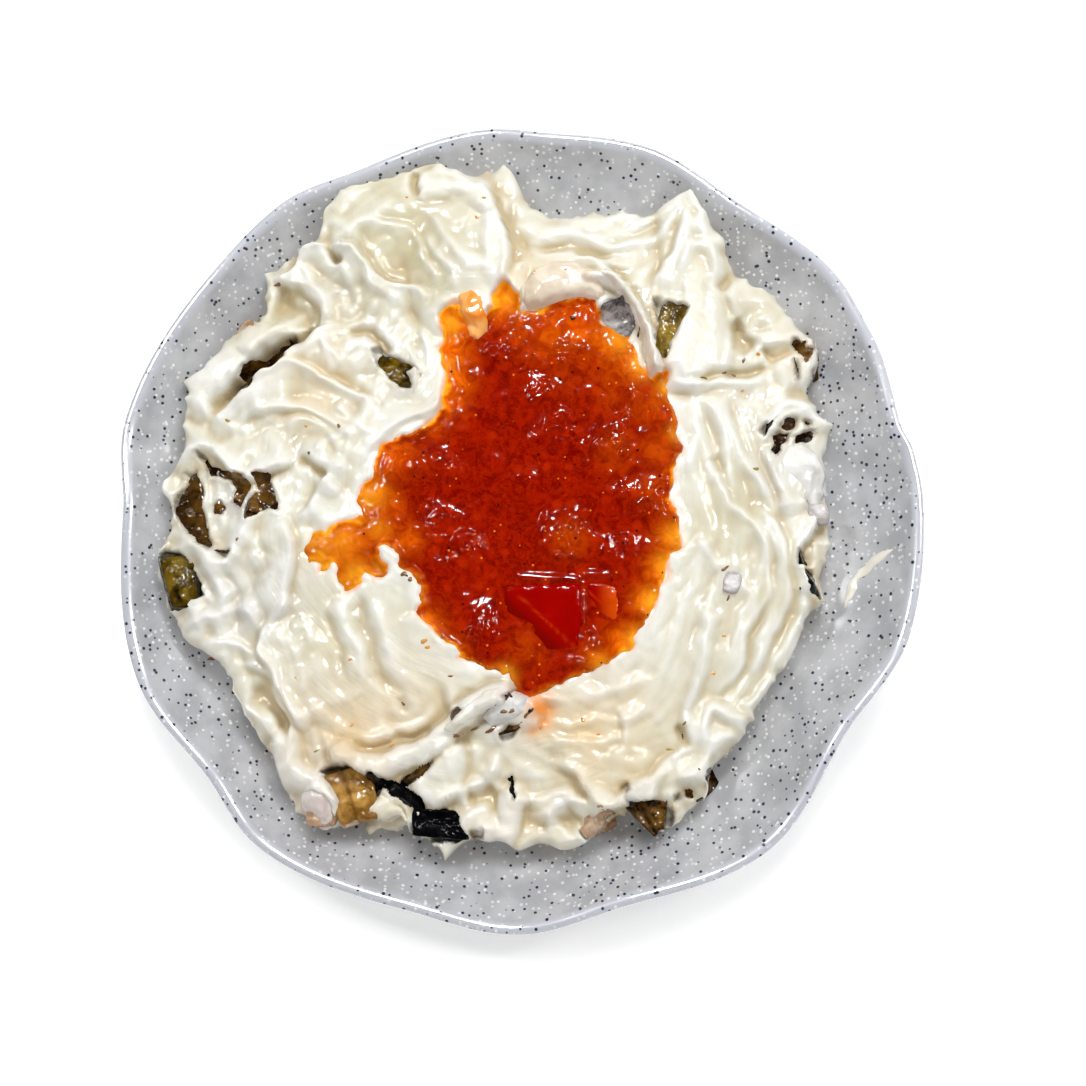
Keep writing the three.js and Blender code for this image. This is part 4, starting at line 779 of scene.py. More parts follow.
def fold_relief(x, y):
    """The height of all folds together."""
    bent_x, bent_y = wobble(*traced(x, y))
    total = np.zeros_like(x)
    for kind, width, height, shape, path in FOLDS:
        line = spline_points(path, 5)
        reach = 3.0 * width
        low = line.min(axis=0) - reach
        high = line.max(axis=0) + reach
        near = (bent_x > low[0]) & (bent_x < high[0]) & (bent_y > low[1]) & (bent_y < high[1])
        across, along, _ = beside_line(line, bent_x[near], bent_y[near])
        total[near] += fold_height(kind, width, height, shape, across, along)
    return total


def stroke_relief(x, y):
    """Fine runs left along the spoon's strokes, and how much of each point they cover."""
    x, y = traced(x, y)
    total = np.zeros_like(x)
    cover = np.zeros_like(x)
    bent_x = x + 0.8 * soft_noise(x / 7.0, y / 7.0, 41)
    bent_y = y + 0.8 * soft_noise(x / 7.0, y / 7.0, 42)
    for number, (width, height, spacing, path) in enumerate(STROKES):
        line = spline_points(path, 6)
        low = line.min(axis=0) - width
        high = line.max(axis=0) + width
        near = (bent_x > low[0]) & (bent_x < high[0]) & (bent_y > low[1]) & (bent_y < high[1])
        across, along, length = beside_line(line, bent_x[near], bent_y[near])
        mask = smoothstep(1.0, 0.75, np.abs(across) / width)
        mask = mask * smoothstep(0.0, 0.12, along) * smoothstep(0.0, 0.12, 1.0 - along)
        runs = soft_noise(across / spacing, along * length / 26.0, 51 + number)
        fine = soft_noise(across * 2.6 / spacing, along * length / 15.0, 71 + number)
        total[near] += height * mask * (1.5 * runs + 0.7 * fine)
        cover[near] = np.maximum(cover[near], mask)
    return total, cover


def crumple(x, y):
    """Small rumpled crests and creases."""
    bent_x = x + 2.2 * layered_noise(x, y, 9.0, 2, 91)
    bent_y = y + 2.2 * layered_noise(x, y, 9.0, 2, 92)
    crests = 1.0 - np.abs(layered_noise(bent_x, bent_y, 8.0, 3, 93)) * 2.6
    creases = np.abs(layered_noise(bent_x, bent_y, 13.0, 2, 94)) * 1.6
    return 0.7 * np.maximum(crests, -0.4) + 0.8 * creases


def smear_marks(x, y):
    """Fine marks of smearing that run roughly round the mound, in patches."""
    turn = np.arctan2(y - MOUND[1], x - MOUND[0])
    reach = np.hypot(x - MOUND[0], y - MOUND[1]) + 9.0 * layered_noise(x, y, 30.0, 2, 131)
    along = turn * 60.0 / 17.0 + 1.5 * layered_noise(x, y, 25.0, 2, 132)
    marks = soft_noise(reach / 1.9, along, 133) + 0.6 * soft_noise(reach / 1.0, along * 1.7, 134)
    patches = smoothstep(-0.35, 0.35, layered_noise(x, y, 12.0, 2, 135))
    return marks * patches


def mound_level(x, y):
    """The level of the yogurt before its edge turns down and its openings are cut."""
    reach = np.hypot(x - MOUND[0], y - MOUND[1])
    dome = 1.0 - np.minimum(reach / MOUND_REACH, 1.0) ** 2.2
    level = EDGE_LEVEL + (CROWN_LEVEL - EDGE_LEVEL) * dome
    runs, cover = stroke_relief(x, y)
    rough = mix(1.0, 0.25, cover) * mix(0.5, 1.0, smoothstep(40.0, 75.0, reach))
    level = level + fold_relief(x, y) + runs + CRUMPLE_HEIGHT * rough * crumple(x, y)
    level = level + SMEAR_HEIGHT * smear_marks(x, y) + GRAIN_HEIGHT * layered_noise(x, y, 2.4, 2, 95)
    inset = pool_inset(x, y)
    return mix(level, pool_bed(inset), smoothstep(-1.2, 2.2, inset))


def open_up(level, x, y):
    """Cuts the openings down and turns up a thin lip round each."""
    x, y = traced(x, y)
    bent_x = x + 0.45 * soft_noise(x / 1.6, y / 1.6, 111)
    bent_y = y + 0.45 * soft_noise(x / 1.6, y / 1.6, 112)
    level = level.copy()
    for _, depth, outline in OPENINGS:
        corners = np.array(outline)
        low, high = corners.min(axis=0) - 3.0, corners.max(axis=0) + 3.0
        near = (x > low[0]) & (x < high[0]) & (y > low[1]) & (y < high[1])
        if near.any():
            inset = polygon_inset(outline, bent_x[near], bent_y[near])
            lip = LIP_HEIGHT * np.exp(-((inset + 0.9) / 0.7) ** 2)
            level[near] += lip - depth * smoothstep(-0.35, 0.45, inset)
    return level


def blurred(field, reach):
    """A field softened over a reach given in cells."""
    steps = np.arange(-3 * reach, 3 * reach + 1)
    weights = np.exp(-0.5 * (steps / reach) ** 2)
    weights /= weights.sum()
    padded = np.pad(field, 3 * reach, mode="edge")
    rows = np.apply_along_axis(lambda line: np.convolve(line, weights, "valid"), 0, padded)
    return np.apply_along_axis(lambda line: np.convolve(line, weights, "valid"), 1, rows)


def opening_rims(x, y):
    """Where oil has browned the yogurt along the shallow openings."""
    x, y = traced(x, y)
    total = np.zeros_like(x)
    for _, depth, outline in OPENINGS:
        if depth > DEEP_OPENING:
            continue
        corners = np.array(outline)
        low, high = corners.min(axis=0) - 2.0, corners.max(axis=0) + 2.0
        near = (x > low[0]) & (x < high[0]) & (y > low[1]) & (y < high[1])
        if near.any():
            inset = polygon_inset(outline, x[near], y[near])
            patchy = smoothstep(-0.4, 0.4, soft_noise(x[near] / 1.7, y[near] / 1.7, 113))
            total[near] = np.maximum(total[near], patchy * np.exp(-(inset / 0.55) ** 2))
    return total


class Survey:
    """The yogurt's surface on a square grid, with how far it dips below its surroundings."""

    STEP = 0.4
    HALF = 100.0
    SHARPEN = 0.9

    def __init__(self):
        line = np.arange(-self.HALF, self.HALF + self.STEP, self.STEP)
        self.y, self.x = np.meshgrid(line, line, indexing="ij")
        rough = blurred(mound_level(self.x, self.y), 1)
        self.closed = rough + self.SHARPEN * (rough - blurred(rough, 4))
        self.near_dip = blurred(self.closed, 4) - self.closed
        self.far_dip = blurred(self.closed, 12) - self.closed

    def at(self, field, x, y):
        column = np.clip((x + self.HALF) / self.STEP, 0, field.shape[1] - 1.001)
        row = np.clip((y + self.HALF) / self.STEP, 0, field.shape[0] - 1.001)
        c, r = column.astype(int), row.astype(int)
        u, v = column - c, row - r
        low = mix(field[r, c], field[r, c + 1], u)
        high = mix(field[r + 1, c], field[r + 1, c + 1], u)
        return mix(low, high, v)


def tint(places, x, y):
    """How strongly a list of soft round tints covers each point."""
    x, y = traced(x, y)
    total = np.zeros_like(x)
    for (at_x, at_y), reach, strength in places:
        away = np.hypot(x - at_x, y - at_y) / reach
        total = np.maximum(total, strength * np.exp(-away ** 2))
    patchy = 0.75 + 0.5 * layered_noise(x, y, 9.0, 3, 101)
    return np.clip(total * patchy, 0.0, 1.0)


# ======== Meshes from rings ========
def ring_counts(radius, step):
    return max(8, int(round(2.0 * math.pi * radius / step)))


def stitch(start, start_count, end, end_count):
    """Triangles between two rings of vertices that run the same way round."""
    steps = np.concatenate([
        np.stack([(np.arange(start_count) + 1) / start_count, np.zeros(start_count)], axis=1),
        np.stack([(np.arange(end_count) + 1) / end_count, np.ones(end_count)], axis=1),
    ])
    order = np.lexsort((-steps[:, 1], steps[:, 0]))
    moves = steps[order, 1] == 1
    to_done = np.concatenate([[0], np.cumsum(moves)[:-1]])
    from_done = np.concatenate([[0], np.cumsum(~moves)[:-1]])
    first = start + from_done % start_count
    second = end + to_done % end_count
    third = np.where(moves, end + (to_done + 1) % end_count, start + (from_done + 1) % start_count)
    return np.stack([first, second, third], axis=1)


class Rings:
    """A mesh made of rings of vertices, one after another."""

    def __init__(self):
        self.points = []
        self.rings = []
        self.total = 0

    def add(self, xs, ys, zs):
        self.points.append(np.stack([xs, ys, zs], axis=1))
        self.rings.append((self.total, len(xs)))
        self.total += len(xs)

    def faces(self):
        """Quads between rings of equal size, triangles between others."""
        quads = []
        triangles = []
        for (start, count), (end, end_count) in zip(self.rings, self.rings[1:]):
            if count == end_count:
                here = np.arange(count)
                after = (here + 1) % count
                quads.append(np.stack([start + here, end + here, end + after, start + after], axis=1))
            elif count == 1:
                here = np.arange(end_count)
                after = (here + 1) % end_count
                triangles.append(np.stack([np.full(end_count, start), end + here, end + after], axis=1))
            elif end_count == 1:
                here = np.arange(count)
                after = (here + 1) % count
                triangles.append(np.stack([start + here, np.full(count, end), start + after], axis=1))
            else:
                triangles.append(stitch(start, count, end, end_count))
        return quads, triangles


def mesh_object(name, points, face_groups, material):
    """A smooth-shaded object from points in millimetres and arrays of faces."""
    mesh = bpy.data.meshes.new(name)
    sizes = np.concatenate([np.full(len(group), group.shape[1]) for group in face_groups])
    corners = np.concatenate([group.ravel() for group in face_groups]).astype(np.int32)
    mesh.vertices.add(len(points))
    mesh.vertices.foreach_set("co", (np.asarray(points) * MM).ravel())
    mesh.loops.add(len(corners))
    mesh.loops.foreach_set("vertex_index", corners)
    mesh.polygons.add(len(sizes))
    starts = np.concatenate([[0], np.cumsum(sizes)[:-1]]).astype(np.int32)
    mesh.polygons.foreach_set("loop_start", starts)
    mesh.polygons.foreach_set("use_smooth", np.ones(len(sizes), dtype=bool))
    mesh.update(calc_edges=True)
    mesh.validate()
    made = bpy.data.objects.new(name, mesh)
    bpy.context.collection.objects.link(made)
    made.data.materials.append(material)
    return made


def paint(made, name, values):
    """Stores one number at each vertex for the material to read."""
    layer = made.data.attributes.new(name, "FLOAT", "POINT")
    layer.data.foreach_set("value", np.asarray(values, dtype=np.float32))


def settle(made, slot, *nodes):
    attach(made, BODY)
    if nodes:
        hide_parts(*nodes)


# ======== Materials ========
class Shader:
    """A short way to write a node material."""

    def __init__(self, name):
        self.material = bpy.data.materials.new(name)
        self.material.use_nodes = True
        self.tree = self.material.node_tree
        self.surface = self.tree.nodes["Principled BSDF"]
        self.place = self.node("ShaderNodeTexCoord").outputs["Object"]

    def node(self, kind, **inputs):
        made = self.tree.nodes.new(kind)
        for key, value in inputs.items():
            self.feed(made.inputs[key.replace("_", " ")], value)
        return made

    def feed(self, socket, value):
        if isinstance(value, bpy.types.NodeSocket):
            self.tree.links.new(value, socket)
        else:
            socket.default_value = value

    def set(self, **values):
        for key, value in values.items():
            self.feed(self.surface.inputs[key.replace("_", " ")], value)

    def noise(self, scale, detail=3.0, roughness=0.5, place=None, distortion=0.0):
        made = self.node("ShaderNodeTexNoise", Scale=scale, Detail=detail, Roughness=roughness,
                         Distortion=distortion)
        self.feed(made.inputs["Vector"], place or self.place)
        return made.outputs["Fac"]

    def cells(self, scale, place):
        """The distance to the nearest of scattered points, and a random number for each point."""
        made = self.node("ShaderNodeTexVoronoi", Scale=scale, Vector=place)
        pick = self.tree.nodes.new("ShaderNodeSeparateColor")
        self.feed(pick.inputs[0], made.outputs["Color"])
        return made.outputs["Distance"], pick.outputs[0]

    def ramp(self, value, low, high):
        """0 below low, 1 above high, eased between."""
        made = self.node("ShaderNodeMapRange")
        made.interpolation_type = "SMOOTHSTEP"
        self.feed(made.inputs["Value"], value)
        made.inputs["From Min"].default_value = low
        made.inputs["From Max"].default_value = high
        return made.outputs["Result"]

    def bent(self, scale, amount):
        """The place moved about by noise, in metres."""
        noise = self.node("ShaderNodeTexNoise", Scale=scale, Detail=2.0)
        self.feed(noise.inputs["Vector"], self.place)
        shift = self.tree.nodes.new("ShaderNodeVectorMath")
        shift.operation = "MULTIPLY_ADD"
        self.feed(shift.inputs[0], noise.outputs["Color"])
        shift.inputs[1].default_value = (amount, amount, amount)
        self.feed(shift.inputs[2], self.place)
        return shift.outputs[0]

    def vector(self, operation, first, second):
        made = self.tree.nodes.new("ShaderNodeVectorMath")
        made.operation = operation
        self.feed(made.inputs[0], first)
        self.feed(made.inputs[1], second)
        return made.outputs[0]

    def length(self, vector):
        made = self.tree.nodes.new("ShaderNodeVectorMath")
        made.operation = "LENGTH"
        self.feed(made.inputs[0], vector)
        return made.outputs["Value"]

    def streaks(self):
        """Fine noise drawn out round the middle of the mound, in patches."""
        middle = (MOUND[0] * MM + 0.005, MOUND[1] * MM + 0.005, 0.0)
        away = self.vector("SUBTRACT", self.bent(30.0, 0.010), middle)
        away = self.vector("MULTIPLY", away, (1.0, 1.0, 0.0))
        outward = self.node("ShaderNodeCombineXYZ", Z=self.length(away))
        around = self.vector("MULTIPLY", self.vector("NORMALIZE", away, away), (0.006, 0.006, 0.0))
        place = self.vector("ADD", around, outward.outputs[0])
        patches = self.ramp(self.noise(45.0, 2.0), 0.38, 0.62)
        return self.math("MULTIPLY", self.noise(850.0, 2.0, 0.5, place=place), patches)

    def blend(self, share, first, second):
        made = self.tree.nodes.new("ShaderNodeMix")
        made.data_type = "RGBA"
        self.feed(made.inputs["Factor"], share)
        for socket, value in ((made.inputs[6], first), (made.inputs[7], second)):
            if isinstance(value, bpy.types.NodeSocket):
                self.tree.links.new(value, socket)
            else:
                socket.default_value = (*value, 1.0)
        return made.outputs[2]

    def math(self, operation, first, second=0.0):
        made = self.tree.nodes.new("ShaderNodeMath")
        made.operation = operation
        self.feed(made.inputs[0], first)
        self.feed(made.inputs[1], second)
        return made.outputs[0]

    def painted(self, name):
        made = self.tree.nodes.new("ShaderNodeAttribute")
        made.attribute_name = name
        return made.outputs["Fac"]

    def bump(self, height, distance, strength=1.0, below=None):
        made = self.node("ShaderNodeBump", Strength=strength, Distance=distance)
        self.feed(made.inputs["Height"], height)
        if below is not None:
            self.feed(made.inputs["Normal"], below)
        return made.outputs["Normal"]


# The plain colour of the yogurt, and its colour where each painted mark covers it. The crest mark is a
# painted highlight on parts raised above their surroundings, and the mark for dips is painted shade.
YOGURT_PLAIN = (0.75, 0.735, 0.645)
YOGURT_DRIFT = (0.66, 0.59, 0.42)
YOGURT_MARKS = {
    "ivory": (0.52, 0.462, 0.265),
    "crest": (0.81, 0.80, 0.75),
    "hollow_shade": (0.52, 0.43, 0.27),
    "warm": (0.73, 0.54, 0.30),
    "cool": (0.64, 0.64, 0.63),
    "stain": (0.80, 0.27, 0.035),
}
CHAR = (0.10, 0.045, 0.012)


def yogurt_material():
    shade = Shader("yogurt")
    colour = YOGURT_PLAIN
    # Ivory tint, then a painted highlight on the crests and painted shade in the dips.
    for mark in ("ivory", "crest", "hollow_shade"):
        colour = shade.blend(shade.painted(mark), colour, YOGURT_MARKS[mark])
    drift = shade.ramp(shade.noise(70.0, 3.0), 0.45, 0.75)
    colour = shade.blend(shade.math("MULTIPLY", drift, 0.4), colour, YOGURT_DRIFT)
    for mark in ("warm", "cool"):
        colour = shade.blend(shade.painted(mark), colour, YOGURT_MARKS[mark])
    colour = shade.blend(shade.math("MULTIPLY", shade.painted("char"), 0.7), colour, CHAR)
    colour = shade.blend(shade.painted("stain"), colour, YOGURT_MARKS["stain"])
    finish_yogurt(shade, colour, shade.streaks())
    return shade.material


def finish_yogurt(shade, colour, streaks=None):
    """The wet, faintly rippled and slightly deep surface that all the yogurt has."""
    wet = shade.ramp(shade.noise(60.0, 2.0), 0.42, 0.58)
    ripple = shade.noise(190.0, 2.0, 0.45, distortion=0.6)
    normal = shade.bump(ripple, 0.0016, 0.22)
    if streaks is not None:
        normal = shade.bump(streaks, 0.0008, 0.3, below=normal)
    gloss = shade.math("SUBTRACT", 0.26, shade.math("MULTIPLY", wet, 0.12))
    shade.set(Base_Color=colour, Roughness=gloss, Normal=normal, Specular_IOR_Level=0.16)
    shade.set(Subsurface_Weight=0.12, Subsurface_Radius=(1.0, 0.85, 0.55), Subsurface_Scale=0.0008)


# The shadowed and plain colours of yogurt that lies over the rest.
TONES = {
    "white": ((0.70, 0.67, 0.58), (0.82, 0.80, 0.73)),
    "cream": ((0.68, 0.61, 0.46), (0.78, 0.73, 0.60)),
    "beige": ((0.64, 0.53, 0.40), (0.76, 0.67, 0.55)),
    "peach": ((0.86, 0.25, 0.02), (0.86, 0.41, 0.12)),
    "pink": ((0.52, 0.42, 0.39), (0.72, 0.66, 0.63)),
    "pearl": ((0.60, 0.585, 0.55), (0.77, 0.76, 0.73)),
}


def coat_material(tone):
    shade = Shader("coat_" + tone)
    patches = shade.ramp(shade.noise(140.0, 3.0, 0.5, distortion=0.8), 0.35, 0.6)
    finish_yogurt(shade, shade.blend(patches, *TONES[tone]))
    return shade.material


# The dark and light colours of each kind of bit.
SPECK_COLOURS = {
    "brown": ((0.10, 0.045, 0.015), (0.30, 0.15, 0.05)),
    "orange": ((0.60, 0.20, 0.02), (0.78, 0.42, 0.10)),
    "olive": ((0.16, 0.12, 0.01), (0.50, 0.36, 0.05)),
    "black": ((0.004, 0.003, 0.004), (0.030, 0.014, 0.008)),
}


def speck_material(tone):
    shade = Shader("specks_" + tone)
    colour = shade.blend(shade.noise(600.0, 2.0), *SPECK_COLOURS[tone])
    shade.set(Base_Color=colour, Roughness=0.2)
    return shade.material


def speckle(shade, scale, size, share, shift):
    """Round dots of one size, in a share of the cells of a pattern."""
    distance, number = shade.cells(scale, shade.vector("ADD", shade.place, (shift, 2 * shift, 3 * shift)))
    dot = shade.ramp(distance, size, size * 0.7)
    chosen = shade.ramp(number, 1.0 - share, 1.0 - share + 0.02)
    return shade.math("MULTIPLY", dot, chosen)


# Two greys that the plate's glaze drifts between, and its edge.
GLAZE = ((0.37, 0.375, 0.393), (0.48, 0.485, 0.508))
GLAZE_EDGE = (0.50, 0.51, 0.56)
# Dots in the glaze: cells to a metre, size, share of the cells, shift of the pattern, colour.
GLAZE_DOTS = (
    (700.0, 0.34, 0.4, 0.3, (0.62, 0.62, 0.63)),
    (520.0, 0.24, 0.5, 0.7, (0.74, 0.74, 0.74)),
    (560.0, 0.27, 0.4, 1.1, (0.028, 0.030, 0.055)),
    (380.0, 0.20, 0.4, 1.9, (0.020, 0.022, 0.045)),
)


def plate_material():
    shade = Shader("plate")
    base = shade.blend(shade.ramp(shade.noise(120.0, 4.0), 0.35, 0.65), *GLAZE)
    colour = shade.blend(shade.painted("rim"), base, GLAZE_EDGE)
    for scale, size, share, shift, dot in GLAZE_DOTS:
        colour = shade.blend(speckle(shade, scale, size, share, shift), colour, dot)
    normal = shade.bump(shade.noise(150.0, 2.0), 0.0004, 0.15)
    shade.set(Base_Color=colour, Roughness=0.2, Normal=normal, Coat_Weight=0.3, Coat_Roughness=0.08)
    return shade.material


# Colours of the sauce: its dark and light pulp where it is deep and where it is orange, the hearts
# of its lumps, fine threads, thin film, seeds and pepper.
SAUCE_DEEP = ((0.17, 0.0018, 0.0002), (0.31, 0.0075, 0.0003))
SAUCE_ORANGE = ((0.68, 0.070, 0.0008), (0.93, 0.175, 0.0020))
SAUCE_HEART = (0.47, 0.020, 0.0008)
SAUCE_THREAD = (0.50, 0.036, 0.0015)
SAUCE_THIN = (0.95, 0.40, 0.015)
SEED_COLOUR = (0.72, 0.17, 0.01)
PEPPER = (0.035, 0.004, 0.002)


def sauce_material(name, shine, bumpy):
    shade = Shader(name)
    pulp = shade.ramp(shade.noise(260.0, 4.0, 0.6, distortion=1.5), 0.35, 0.65)
    deep = shade.blend(pulp, *SAUCE_DEEP)
    distance, number = shade.cells(310.0, shade.bent(120.0, 0.004))
    heart = shade.math("MULTIPLY", shade.ramp(distance, 0.6, 0.2), shade.ramp(number, 0.5, 0.8))
    deep = shade.blend(shade.math("MULTIPLY", heart, 0.55), deep, SAUCE_HEART)
    threads = shade.noise(430.0, 2.0, 0.5, distortion=2.5)
    thread = shade.ramp(shade.math("ABSOLUTE", shade.math("SUBTRACT", threads, 0.5)), 0.035, 0.005)
    deep = shade.blend(shade.math("MULTIPLY", thread, 0.3), deep, SAUCE_THREAD)
    colour = shade.blend(shade.painted("orange"), deep, shade.blend(pulp, *SAUCE_ORANGE))
    colour = shade.blend(shade.painted("thin"), colour, SAUCE_THIN)
    colour = shade.blend(speckle(shade, 640.0, 0.20, 0.12, 0.5), colour, SEED_COLOUR)
    colour = shade.blend(speckle(shade, 330.0, 0.13, 0.35, 1.3), colour, PEPPER)
    if bumpy:
        grain = shade.noise(300.0, 0.8, 0.4, distortion=0.8)
        rough = shade.math("ADD", shade.math("MULTIPLY", shade.painted("lumpy"), 0.5), 0.16)
        shade.set(Normal=shade.bump(shade.math("MULTIPLY", grain, rough), 0.0014, 0.7))
    shade.set(Base_Color=colour, Roughness=0.07, Specular_IOR_Level=shine)
    return shade.material


TOMATO_SKIN = ((0.23, 0.0005, 0.0002), (0.37, 0.0016, 0.0003))
TOMATO_ORANGE = (0.55, 0.055, 0.0015)


def tomato_material():
    shade = Shader("tomato")
    skin = shade.blend(shade.noise(200.0, 3.0), *TOMATO_SKIN)
    colour = shade.blend(shade.painted("sunken"), skin, SAUCE_DEEP[0])
    colour = shade.blend(shade.painted("orange"), colour, TOMATO_ORANGE)
    normal = shade.bump(shade.noise(250.0, 1.0), 0.0010, 0.5)
    shade.set(Base_Color=colour, Roughness=0.07, Normal=normal, Specular_IOR_Level=0.3)
    return shade.material


SMEARED_YOGURT = (0.62, 0.57, 0.49)
# The dark and light colours of each kind of piece, and how much yogurt is smeared over it.
FLESH = {
    "brown": ((0.014, 0.005, 0.001), (0.170, 0.080, 0.013), 0.25),
    "olive": ((0.012, 0.006, 0.0006), (0.190, 0.115, 0.006), 0.0),
    "amber": ((0.060, 0.034, 0.003), (0.330, 0.215, 0.030), 0.12),
    "dark": ((0.004, 0.002, 0.001), (0.045, 0.016, 0.004), 0.12),
    "tan": ((0.36, 0.21, 0.11), (0.60, 0.44, 0.31), 0.5),
    "golden": ((0.20, 0.090, 0.014), (0.56, 0.310, 0.075), 0.1),
    "grey": ((0.045, 0.042, 0.048), (0.60, 0.59, 0.58), 0.4),
    "knob": ((0.40, 0.36, 0.35), (0.72, 0.70, 0.69), 0.3),
    "skin": ((0.0012, 0.0012, 0.0018), (0.005, 0.0045, 0.005), 0.0),
}


def flesh_material(kind):
    shade = Shader("eggplant_" + kind)
    dark, light, smeared = FLESH[kind]
    patches = shade.noise(130.0, 3.0, 0.6, distortion=1.0)
    fibres = shade.noise(520.0, 3.0, 0.6)
    share = shade.math("ADD", shade.math("MULTIPLY", patches, 0.7), shade.math("MULTIPLY", fibres, 0.3))
    colour = shade.blend(shade.ramp(share, 0.38, 0.62), dark, light)
    # Darker towards the piece's edges, and painted shade along its furrow.
    colour = shade.blend(shade.math("MULTIPLY", shade.painted("border"), 0.75), colour, dark)
    strands = shade.noise(170.0, 3.0, 0.55, distortion=2.0)
    smear = shade.ramp(strands, 0.78 - 0.3 * smeared, 0.84 - 0.3 * smeared)
    colour = shade.blend(smear, colour, SMEARED_YOGURT)
    normal = shade.bump(shade.noise(330.0, 1.0, 0.5, distortion=0.8), 0.0012, 0.5)
    level = 0.12 if kind == "skin" else 0.4
    shade.set(Base_Color=colour, Roughness=0.09, Normal=normal, Specular_IOR_Level=level)
    return shade.material


# ======== Pieces ========
def make_plate():
    profile = np.array(PLATE_UNDERSIDE + PLATE_LIP + PLATE_INSIDE, dtype=float)
    steps = [(profile[i] * (1 - t) + profile[i + 1] * t) for i in range(len(profile) - 1)
             for t in np.arange(4) / 4.0] + [profile[-1]]
    smooth = np.array(steps)
    for _ in range(3):
        smooth[1:-1] = 0.25 * smooth[:-2] + 0.5 * smooth[1:-1] + 0.25 * smooth[2:]
    rings = Rings()
    angles = np.arange(PLATE_SEGMENTS) * 2.0 * math.pi / PLATE_SEGMENTS
    for radius, height in smooth:
        if radius < 1e-6:
            rings.add(np.zeros(1), np.zeros(1), np.full(1, height))
            continue
        out, up = rim_shift(angles, np.full_like(angles, radius))
        rings.add(np.cos(angles) * (radius + out), np.sin(angles) * (radius + out), height + up)
    points = np.vstack(rings.points)
    quads, triangles = rings.faces()
    made = mesh_object("plate_body", points, quads + triangles, plate_material())
    reach = np.hypot(points[:, 0], points[:, 1])
    edge = outline_radius(RIM_WAVE, np.arctan2(points[:, 1], points[:, 0]))
    paint(made, "rim", smoothstep(3.6, 2.4, edge - reach))
    settle(made, "plate", "plate")


def edge_width(angles):
    return EDGE_WIDTH + 1.2 * np.sin(5 * angles + 1) + 0.8 * np.sin(13 * angles)


def make_yogurt(material, survey):
    rings = Rings()
    inner = MEAN_EDGE_RADIUS - EDGE_BAND
    radius = 0.0
    while radius < inner:
        share = radius / inner
        step = HIDDEN_STEP if radius < HIDDEN_REACH else YOGURT_STEP
        count = 1 if radius == 0.0 else ring_counts(radius, step)
        angles = np.arange(count) * 2.0 * math.pi / count
        border = mound_radius(angles) - edge_width(angles)
        reach = share * mix(inner, border, share ** 3)
        xs = MOUND[0] + np.cos(angles) * reach
        ys = MOUND[1] + np.sin(angles) * reach
        rings.add(xs, ys, np.zeros_like(xs))
        radius += step
    inner_total = rings.total
    count = ring_counts(MEAN_EDGE_RADIUS, YOGURT_STEP)
    angles = np.arange(count) * 2.0 * math.pi / count
    edge = mound_radius(angles)
    width = edge_width(angles)
    fractions = []
    end_turn = 0.5 * math.pi + UNDERCUT
    for turn in np.linspace(0.0, end_turn, EDGE_STEPS):
        out = math.sin(turn)
        up = math.cos(turn)
        if turn < 0.5 * math.pi:
            out, up = out ** (2.0 / EDGE_SQUARENESS), up ** (2.0 / EDGE_SQUARENESS)
        inset = width * (1.0 - out)
        fraction = (up - math.cos(end_turn)) / (1.0 - math.cos(end_turn))
        xs = MOUND[0] + np.cos(angles) * (edge - inset)
        ys = MOUND[1] + np.sin(angles) * (edge - inset)
        rings.add(xs, ys, np.zeros_like(xs))
        fractions.append(np.full(count, fraction))
    points = np.vstack(rings.points)
    level = open_up(survey.at(survey.closed, points[:, 0], points[:, 1]), points[:, 0], points[:, 1])
    foot = plate_top(points[:, 0], points[:, 1]) + 0.1
    fraction = np.ones(len(points))
    fraction[inner_total:] = np.concatenate(fractions)
    points[:, 2] = foot + np.maximum(level - foot, 1.0) * fraction
    quads, triangles = rings.faces()
    made = mesh_object("yogurt_mound", points, quads + triangles, material)
    outside = -pool_inset(points[:, 0], points[:, 1])
    stain = smoothstep(1.4, -0.4, outside + 0.9 * soft_noise(points[:, 0] / 2.0, points[:, 1] / 2.0, 15))
    stain = stain * (0.2 + smoothstep(0.1, 0.6, tint(ORANGE_ZONES, points[:, 0], points[:, 1])))
    near_dip = survey.at(survey.near_dip, points[:, 0], points[:, 1])
    far_dip = survey.at(survey.far_dip, points[:, 0], points[:, 1])
    paint(made, "stain", np.maximum(0.6 * stain, tint(STAINS, points[:, 0], points[:, 1])))
    paint(made, "char", opening_rims(points[:, 0], points[:, 1]))
    # Dips below their surroundings are painted darker: painted shade.
    paint(made, "hollow_shade", np.clip(0.55 * near_dip / 0.8 + 0.45 * far_dip / 2.2, 0.0, 1.0))
    ivory = tint(IVORY_TINTS, points[:, 0], points[:, 1])
    # Parts raised above their surroundings are painted whiter as a painted highlight, less where the yogurt
    # is ivory.
    crest = np.clip(-0.7 * near_dip / 0.6 - 0.6 * far_dip / 1.8, 0.0, 1.0)
    paint(made, "crest", crest * (1.0 - 0.75 * ivory))
    paint(made, "ivory", ivory)
    paint(made, "warm", tint(WARM_TINTS, points[:, 0], points[:, 1]))
    paint(made, "cool", tint(COOL_TINTS, points[:, 0], points[:, 1]))
    settle(made, "yogurt", "yogurt")


